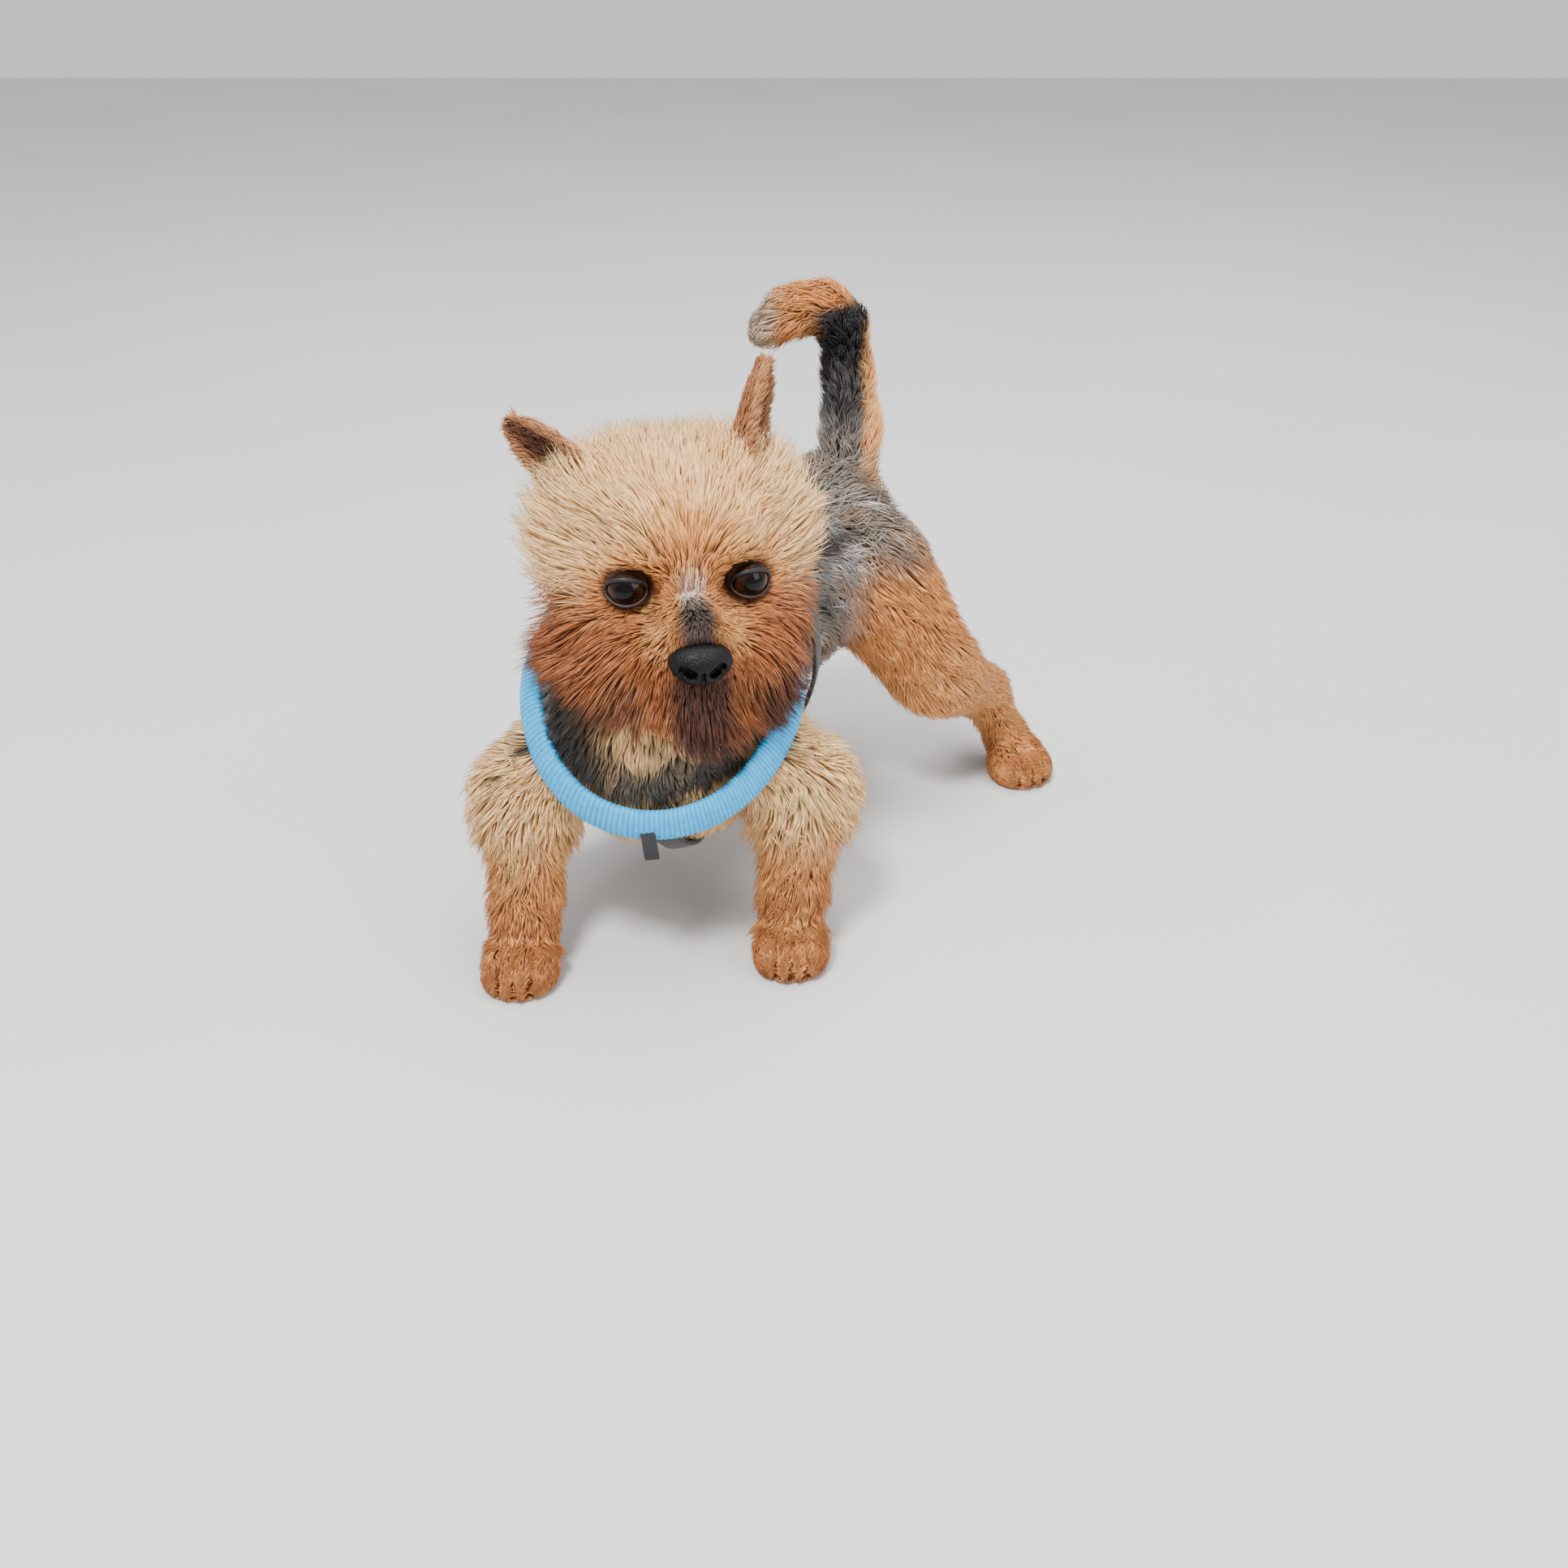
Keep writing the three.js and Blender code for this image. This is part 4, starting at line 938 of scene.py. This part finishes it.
EYE_MATERIAL = eye_material()
LID_MATERIAL = hair_material("lid", 0.7)
LIDS = {
    # up or down, opening, colour, thickness
    "upper": (1, 5.5, BLACK * 1.4, 1.0),
    "lower": (-1, 5.2, rgb(58, 44, 42), 0.75),
}


def make_eyeball(side, centre, facing, side_way, over):
    rings, columns, rows = [], 48, 32
    for i in range(rows + 1):
        polar = math.pi * max(i, 0.02) / rows if i < rows else math.pi * 0.995
        radius = EYE_RADIUS * (1 + CORNEA_BULGE * math.exp(-(polar / 0.55) ** 2))
        wide = radius * math.sin(polar)
        rings.append(oval(centre + radius * math.cos(polar) * facing, wide * side_way, wide * over, columns))
    eye = ring_mesh(f"eye_{side}_ball", rings)
    away = unit(points_of(eye) - centre)
    polar = np.arccos(np.clip(away @ facing, -1, 1)) / math.radians(95)
    angle = np.arctan2(away @ side_way, away @ over) / (2 * math.pi) + 0.5
    index = np.empty(len(eye.data.loops), np.int32)
    eye.data.loops.foreach_get("vertex_index", index)
    give_uv(eye, np.stack([angle, np.clip(polar, 0, 1)], axis=1)[index])
    eye.data.materials.append(EYE_MATERIAL)
    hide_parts(f"eye_{side}")


def make_eye(side, out):
    centre = on_head(out * EYE_SPACING / 2, EYE_DEPTH, 0)
    facing = HEAD_TURN @ unit([out * 0.22, -1, 0.03])
    side_way = unit(np.cross(facing, UP))
    over = np.cross(side_way, facing)
    make_eyeball(side, centre, facing, side_way, over)
    for name, (rise, opening, tone, thick) in LIDS.items():
        rings = []
        for turn_by in math.pi * np.arange(33) / 32:
            across, lift = math.cos(turn_by), math.sin(turn_by)
            flat = np.array([across * LID_REACH, rise * opening * lift ** 0.9])
            depth = math.sqrt(max((EYE_RADIUS + LID_DEPTH) ** 2 - flat @ flat, 1))
            at = centre + side_way * flat[0] + over * flat[1] + facing * depth
            outward = unit(at - centre)
            along = unit(-lift * 7.6 * side_way + rise * across * 5 * over)
            third = np.cross(outward, along)
            size = thick * (0.35 + 0.65 * lift ** 0.5)
            rings.append(oval(at, outward * size * 0.75, third * size, 12))
        lid = ring_mesh(f"eye_{side}_lid_{name}", rings)
        give_colour(lid, np.tile(tone, (len(lid.data.vertices), 1)))
        lid.data.materials.append(LID_MATERIAL)


# Nose leather with two comma-shaped nostrils and the groove between them
def nose_field(p):
    q = in_head(p) - np.array(NOSE_MIDDLE)
    x, y, z = np.abs(q[:, 0]), q[:, 1], q[:, 2]
    wide = NOSE_WIDTH / 2 * (1 - 0.028 * np.clip(-z, 0, 6))
    pad = (np.sqrt((q[:, 0] / wide) ** 2 + (y / 8.5) ** 2 + np.abs(z / 8.2) ** 2.4) - 1) * 7.5

    def tube(ax, az, bx, bz, radius):
        along = np.array([bx - ax, bz - az])
        share = np.clip(((x - ax) * along[0] + (z - az) * along[1]) / (along @ along), 0, 1)
        gap = np.hypot(x - ax - share * along[0], z - az - share * along[1])
        return np.hypot(gap, np.maximum(y + 4.5, 0)) - radius

    hole = np.minimum(tube(4.2, -1.2, 6.6, 0.4, 1.9), tube(6.6, 0.0, 9.3, -3.4, 1.0))
    groove = np.hypot(np.abs(q[:, 0]), np.maximum(z + 1.0, 0)) - 0.55
    groove = np.maximum(groove, y + 5.2)
    blend = 1.6
    for cut in (hole, groove):
        near = np.maximum(blend - np.abs(pad + cut), 0) / blend
        pad = np.maximum(pad, -cut) + near * near * blend / 4
    return pad


def make_nose():
    middle = on_head(*NOSE_MIDDLE)
    vertices, faces = net(nose_field, middle - 15, middle + 15, 0.45)
    nose = mesh_object("nose_leather", vertices, faces)
    made, tree, shader = material("nose", 0.42, Coat_Weight=0.05, Coat_Roughness=0.3, Specular_IOR_Level=0.16)
    cells = add_texture(tree, "TexVoronoi", Scale=1500)
    link_ramp(tree, shader, cells.outputs["Distance"], (0, BLACK * 0.35), (1, rgb(19, 16, 18)))
    add_bump(tree, shader, cells.outputs["Distance"], 0.0004, 0.7)
    nose.data.materials.append(made)
    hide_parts("nose")


# Ears: a cupped leaf, folded back, with short hair outside and a fringe along its edges
EAR_TUFTS = 5200
EARS = {
    # root on the head, way up the ear, way its mouth faces, bend of the tip
    "left": ((22, 42, 26), (0.3, 0.4, 0.86), (0.95, -0.3, 0.05), 3),
    "right": ((-25, 42, 22), (-0.6, 0.58, 0.52), (-0.85, -0.45, 0.0), 8),
}


def make_ear(side):
    base, along, mouth, bend = EARS[side]
    base, up = on_head(*base), HEAD_TURN @ unit(along)
    front = HEAD_TURN @ np.array(mouth, float)
    front = unit(front - up * (front @ up))
    across = np.cross(up, front)

    def leaf(height, width, face):
        narrow = np.sqrt(np.maximum(1 - height ** 1.7, 0.012))
        half = EAR_WIDTH / 2 * narrow * (0.72 + 0.28 * np.clip(height * 3.5, 0, 1))
        cup = 0.62 * half * width ** 2 * (1 - 0.45 * height)
        thick = face * (1 - 0.35 * height) * (1.12 - width ** 4)
        return (base + up * (height * (EAR_LENGTH + EAR_ROOT) - EAR_ROOT)[..., None]
                + across * (width * half)[..., None] + front * (cup + thick + bend * height ** 3)[..., None])

    rows, columns = 40, 24
    span = np.linspace(-1, 1, columns + 1)
    outline = [np.concatenate([leaf(np.full(columns + 1, h), span * face, face) for face in (1.0, -1.0)])
               for h in np.linspace(0, 1, rows + 1)]
    ear = ring_mesh(f"ear_{side}_leaf", outline)
    inner = np.tile(np.concatenate([1 - np.abs(span) ** 3, np.zeros(columns + 1)]), rows + 1)
    give_colour(ear, mix(np.tile(rgb(140, 84, 56), (len(inner), 1)), rgb(86, 56, 48), inner))
    ear.data.materials.append(HIDE)
    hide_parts(f"ear_{side}")
    count = int(EAR_TUFTS * HAIR_SHARE)
    height, width = rng.random(count) ** 0.9, rng.uniform(-1, 1, count)
    face = np.where(rng.random(count) < 0.72, -1.0, 1.0)
    rim = rng.random(count) < 0.34
    width[rim] = np.sign(width[rim]) * (1 - 0.05 * rng.random(rim.sum()))
    roots = leaf(height, width, face)
    step = 0.02
    tip_way = unit(leaf(np.minimum(height + step, 1), width, face) - roots)
    side_way = unit(leaf(height, np.clip(width + step, -1, 1), face) - leaf(height, width - step, face))
    out = unit(np.cross(side_way, tip_way))
    out = np.where(((out @ front) * face)[:, None] < 0, -out, out)
    edge = np.abs(width) ** 6 * np.sign(width)
    way = unit(tip_way + side_way * edge[:, None] * 0.9 + out * 0.12 + rng.normal(size=(count, 3)) * 0.1)
    length = (3.6 + 3.2 * rng.random(count) + 3.5 * np.abs(edge)) * np.where(height > 0.85, 0.8, 1.0)
    path = np.stack([roots + way * (length * t)[:, None] + out * (0.9 * math.sin(3 * t))
                     for t in (0.0, 0.35, 0.7, 1.0)], axis=1)
    path[:, 1:] += rng.normal(size=(count, 1, 3)) * 0.25
    tint = mix(np.tile(rgb(150, 88, 52), (count, 1)), rgb(196, 140, 92), np.abs(edge) * 0.8)
    tint = mix(tint, rgb(92, 60, 48), (face > 0) * (1 - np.abs(edge)) * 0.7)
    tint = tint * (0.8 + 0.4 * rng.random((count, 1)))
    uv = np.stack([0.08 + 0.4 * (width + 1) + 0.02 * face, 0.05 + 0.9 * height], axis=1)
    outs, ways = (np.repeat(v[:, None], 4, axis=1) for v in (out, way))
    tuft_mesh(f"coat_ear_{side}", path, outs, ways, 0.55 + 0.35 * rng.random(count), tint, uv)


# Claws
CLAW_LENGTH, CLAW_DROP, CLAW_RADIUS = 6.2, 3.9, 1.35


def make_claws():
    claw_material, tree, shader = material("claw", 0.35, Coat_Weight=0.2)
    noise, _ = link_noise(tree, 300, 2, 0, 1)
    link_ramp(tree, shader, noise.outputs["Fac"], (0, rgb(30, 24, 22)), (1, rgb(70, 56, 48)))
    for name, places in (("fore", FORELEG), ("hind", HINDLEG)):
        for side in SIDES:
            joint, toes = places[side][-2:]
            for n, (at, ahead) in enumerate(toe_places(joint, toes)):
                start = at + ahead * 5.6 + UP * 0.4
                rings = []
                for t in np.arange(11) / 10:
                    centre = start + ahead * CLAW_LENGTH * t - UP * CLAW_DROP * t ** 1.8
                    radius = CLAW_RADIUS * (1 - t) ** 0.7 + 0.08
                    rings.append(oval(centre, np.cross(ahead, UP) * radius * 0.8, UP * radius, 14))
                claw = ring_mesh(f"claw_{name}_{side}_{n + 1}", rings)
                claw.data.materials.append(claw_material)


# Harness bands
def band(name, path, width, thickness, closed=False, section=16, puff=5, ribs=0.0, faced=0.0):
    """Strap along a path, flat on the coat. A smaller puff is rounder, and faced turns it to the front."""
    after = np.roll(path, -1, 0) if closed else np.vstack([path[1:], 2 * path[-1] - path[-2]])
    before = np.roll(path, 1, 0) if closed else np.vstack([2 * path[0] - path[1], path[:-1]])
    along = unit(after - before)
    out = core_slope(path) + faced * unit([0, -1, 0.3])
    out = unit(out - along * (out * along).sum(axis=1, keepdims=True))
    across = np.cross(along, out)
    w = np.linspace(0, 2 * math.pi, section, endpoint=False)
    u = np.sign(np.cos(w)) * np.abs(np.cos(w)) ** (2 / puff)
    v = np.sign(np.sin(w)) * np.abs(np.sin(w)) ** (2 / puff)
    far = np.concatenate([[0], np.cumsum(np.linalg.norm(np.diff(path, axis=0), axis=1))])
    swell = (1 + ribs * np.sin(2 * math.pi * far / RIB))[:, None, None]
    rings = (path[:, None] + across[:, None] * (u * width / 2)[None, :, None] * (1 + 0.4 * (swell - 1))
             + out[:, None] * (v * thickness / 2)[None, :, None] * swell)
    return ring_mesh(name, rings, joined=closed)


def webbing_material():
    made, tree, shader = material("webbing", 0.85, Sheen_Weight=0.2, Sheen_Roughness=0.5)
    weave = None
    for axis in "XYZ":
        wave = add_texture(tree, "TexWave", Scale=380, Distortion=1.2, Detail=2)
        wave.bands_direction = axis
        product = add_node(tree, "Math")
        product.operation = "MULTIPLY"
        product.inputs[0].default_value = 1
        if weave is not None:
            tree.links.new(weave, product.inputs[0])
        tree.links.new(wave.outputs["Fac"], product.inputs[1])
        weave = product.outputs[0]
    _, spread = link_noise(tree, 60, 4, 0.0, 1.0)
    link_ramp(tree, shader, spread.outputs["Result"], (0, rgb(16, 17, 20)), (1, rgb(38, 40, 46)))
    add_bump(tree, shader, weave, 0.0003, 0.8)
    return made


NECK_BAND_EXTRA, NECK_BAND_FACED = 1.5, 0.6
STRAP_THICKNESS = 2.0
TAB = {"width": 6.0, "thickness": 1.6,
       "from": np.array([-2.0, -2.0, -2.0]), "run": np.array([1.5, -2.0, -11.0])}


def make_neck_band():
    collar = band("neck_band", COLLAR_PATH, COLLAR["width"] + NECK_BAND_EXTRA, COLLAR["thickness"],
                  closed=True, section=28, puff=2.4, ribs=0.06, faced=NECK_BAND_FACED)
    spoke = points_of(collar) - COLLAR["centre"]
    around = np.arctan2(spoke @ COLLAR["rise"], spoke @ COLLAR["side"])
    far = np.cumsum(np.linalg.norm(np.diff(COLLAR_PATH, axis=0, append=COLLAR_PATH[:1]), axis=1))
    along = np.interp(around % (2 * math.pi), np.linspace(0, 2 * math.pi, len(far)), far)
    # Painted light and shade: the two blues alternate along the knit ribs, lighter as painted light on the
    # rib crests and darker as painted shade in the grooves between them
    rib = 0.5 + 0.5 * np.sin(2 * math.pi * along / RIB)
    give_colour(collar, mix(np.tile(rgb(4, 122, 190), (len(rib), 1)), rgb(22, 184, 244), 0.35 + 0.65 * rib))
    collar.data.materials.append(hair_material("band_knit", 0.85))
    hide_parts("harness_collar")


def make_harness():
    make_neck_band()
    girth = band("girth_strap", GIRTH_PATH, GIRTH["width"], STRAP_THICKNESS, closed=True, section=20)
    breast = band("breast_strap", STRAP_PATH, STRAP["width"], STRAP_THICKNESS)
    start = COLLAR_PATH[COLLAR_PATH[:, 2].argmin()]
    tab_line = start + np.linspace(0, 1, 12)[:, None] * TAB["run"] + TAB["from"]
    tab = band("front_tab", tab_line, TAB["width"], TAB["thickness"])
    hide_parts("harness_girth")
    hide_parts("harness_breast_strap")
    webbing = webbing_material()
    for strap in (girth, breast, tab):
        strap.data.materials.append(webbing)


# Floor, light and camera. The places of the lamps are in metres
LAMPS = [
    # name, place, size, power
    ("key", (-0.35, -0.7, 1.6), 0.4, 42),
    ("fill", (1.3, -0.8, 0.9), 1.0, 13),
    ("top", (0.2, 0.5, 1.7), 1.2, 28),
]
LIT_PLACE = Vector((0, 0, 0.1))
CAMERA = {"place": vec(5, -615, 387), "lens": 36.09, "looks_down": 30.3}


def make_stage():
    bpy.ops.mesh.primitive_plane_add(size=6)
    floor = bpy.context.object
    floor.name = "floor"
    made, tree, shader = material("floor", 0.75)
    _, spread = link_noise(tree, 3, 2, 0.0, 1.0)
    link_ramp(tree, shader, spread.outputs["Result"], (0, (0.60, 0.60, 0.585)), (1, (0.64, 0.64, 0.625)))
    floor.data.materials.append(made)
    world = bpy.data.worlds.new("studio")
    world.use_nodes = True
    sky = world.node_tree.nodes["Background"]
    sky.inputs["Color"].default_value = (0.93, 0.96, 1.0, 1)
    sky.inputs["Strength"].default_value = 0.85
    bpy.context.scene.world = world
    for name, place, size, power in LAMPS:
        data = bpy.data.lights.new(name, "AREA")
        data.size, data.energy = size, power
        lamp = bpy.data.objects.new(name, data)
        lamp.location = place
        lamp.rotation_euler = (LIT_PLACE - Vector(place)).to_track_quat("-Z", "Y").to_euler()
        bpy.context.scene.collection.objects.link(lamp)
    camera = bpy.data.objects.new("camera", bpy.data.cameras.new("camera"))
    camera.data.lens = CAMERA["lens"]
    camera.data.sensor_width = 36
    camera.location = CAMERA["place"] * MM
    camera.rotation_euler = (math.radians(90 - CAMERA["looks_down"]), 0, 0)
    bpy.context.scene.collection.objects.link(camera)
    bpy.context.scene.camera = camera


make_stage()
skin_vertices, skin_faces = make_skin()
make_coat(skin_vertices, skin_faces)
for side, out in SIDES.items():
    make_eye(side, out)
    make_ear(side)
make_nose()
make_claws()
make_harness()
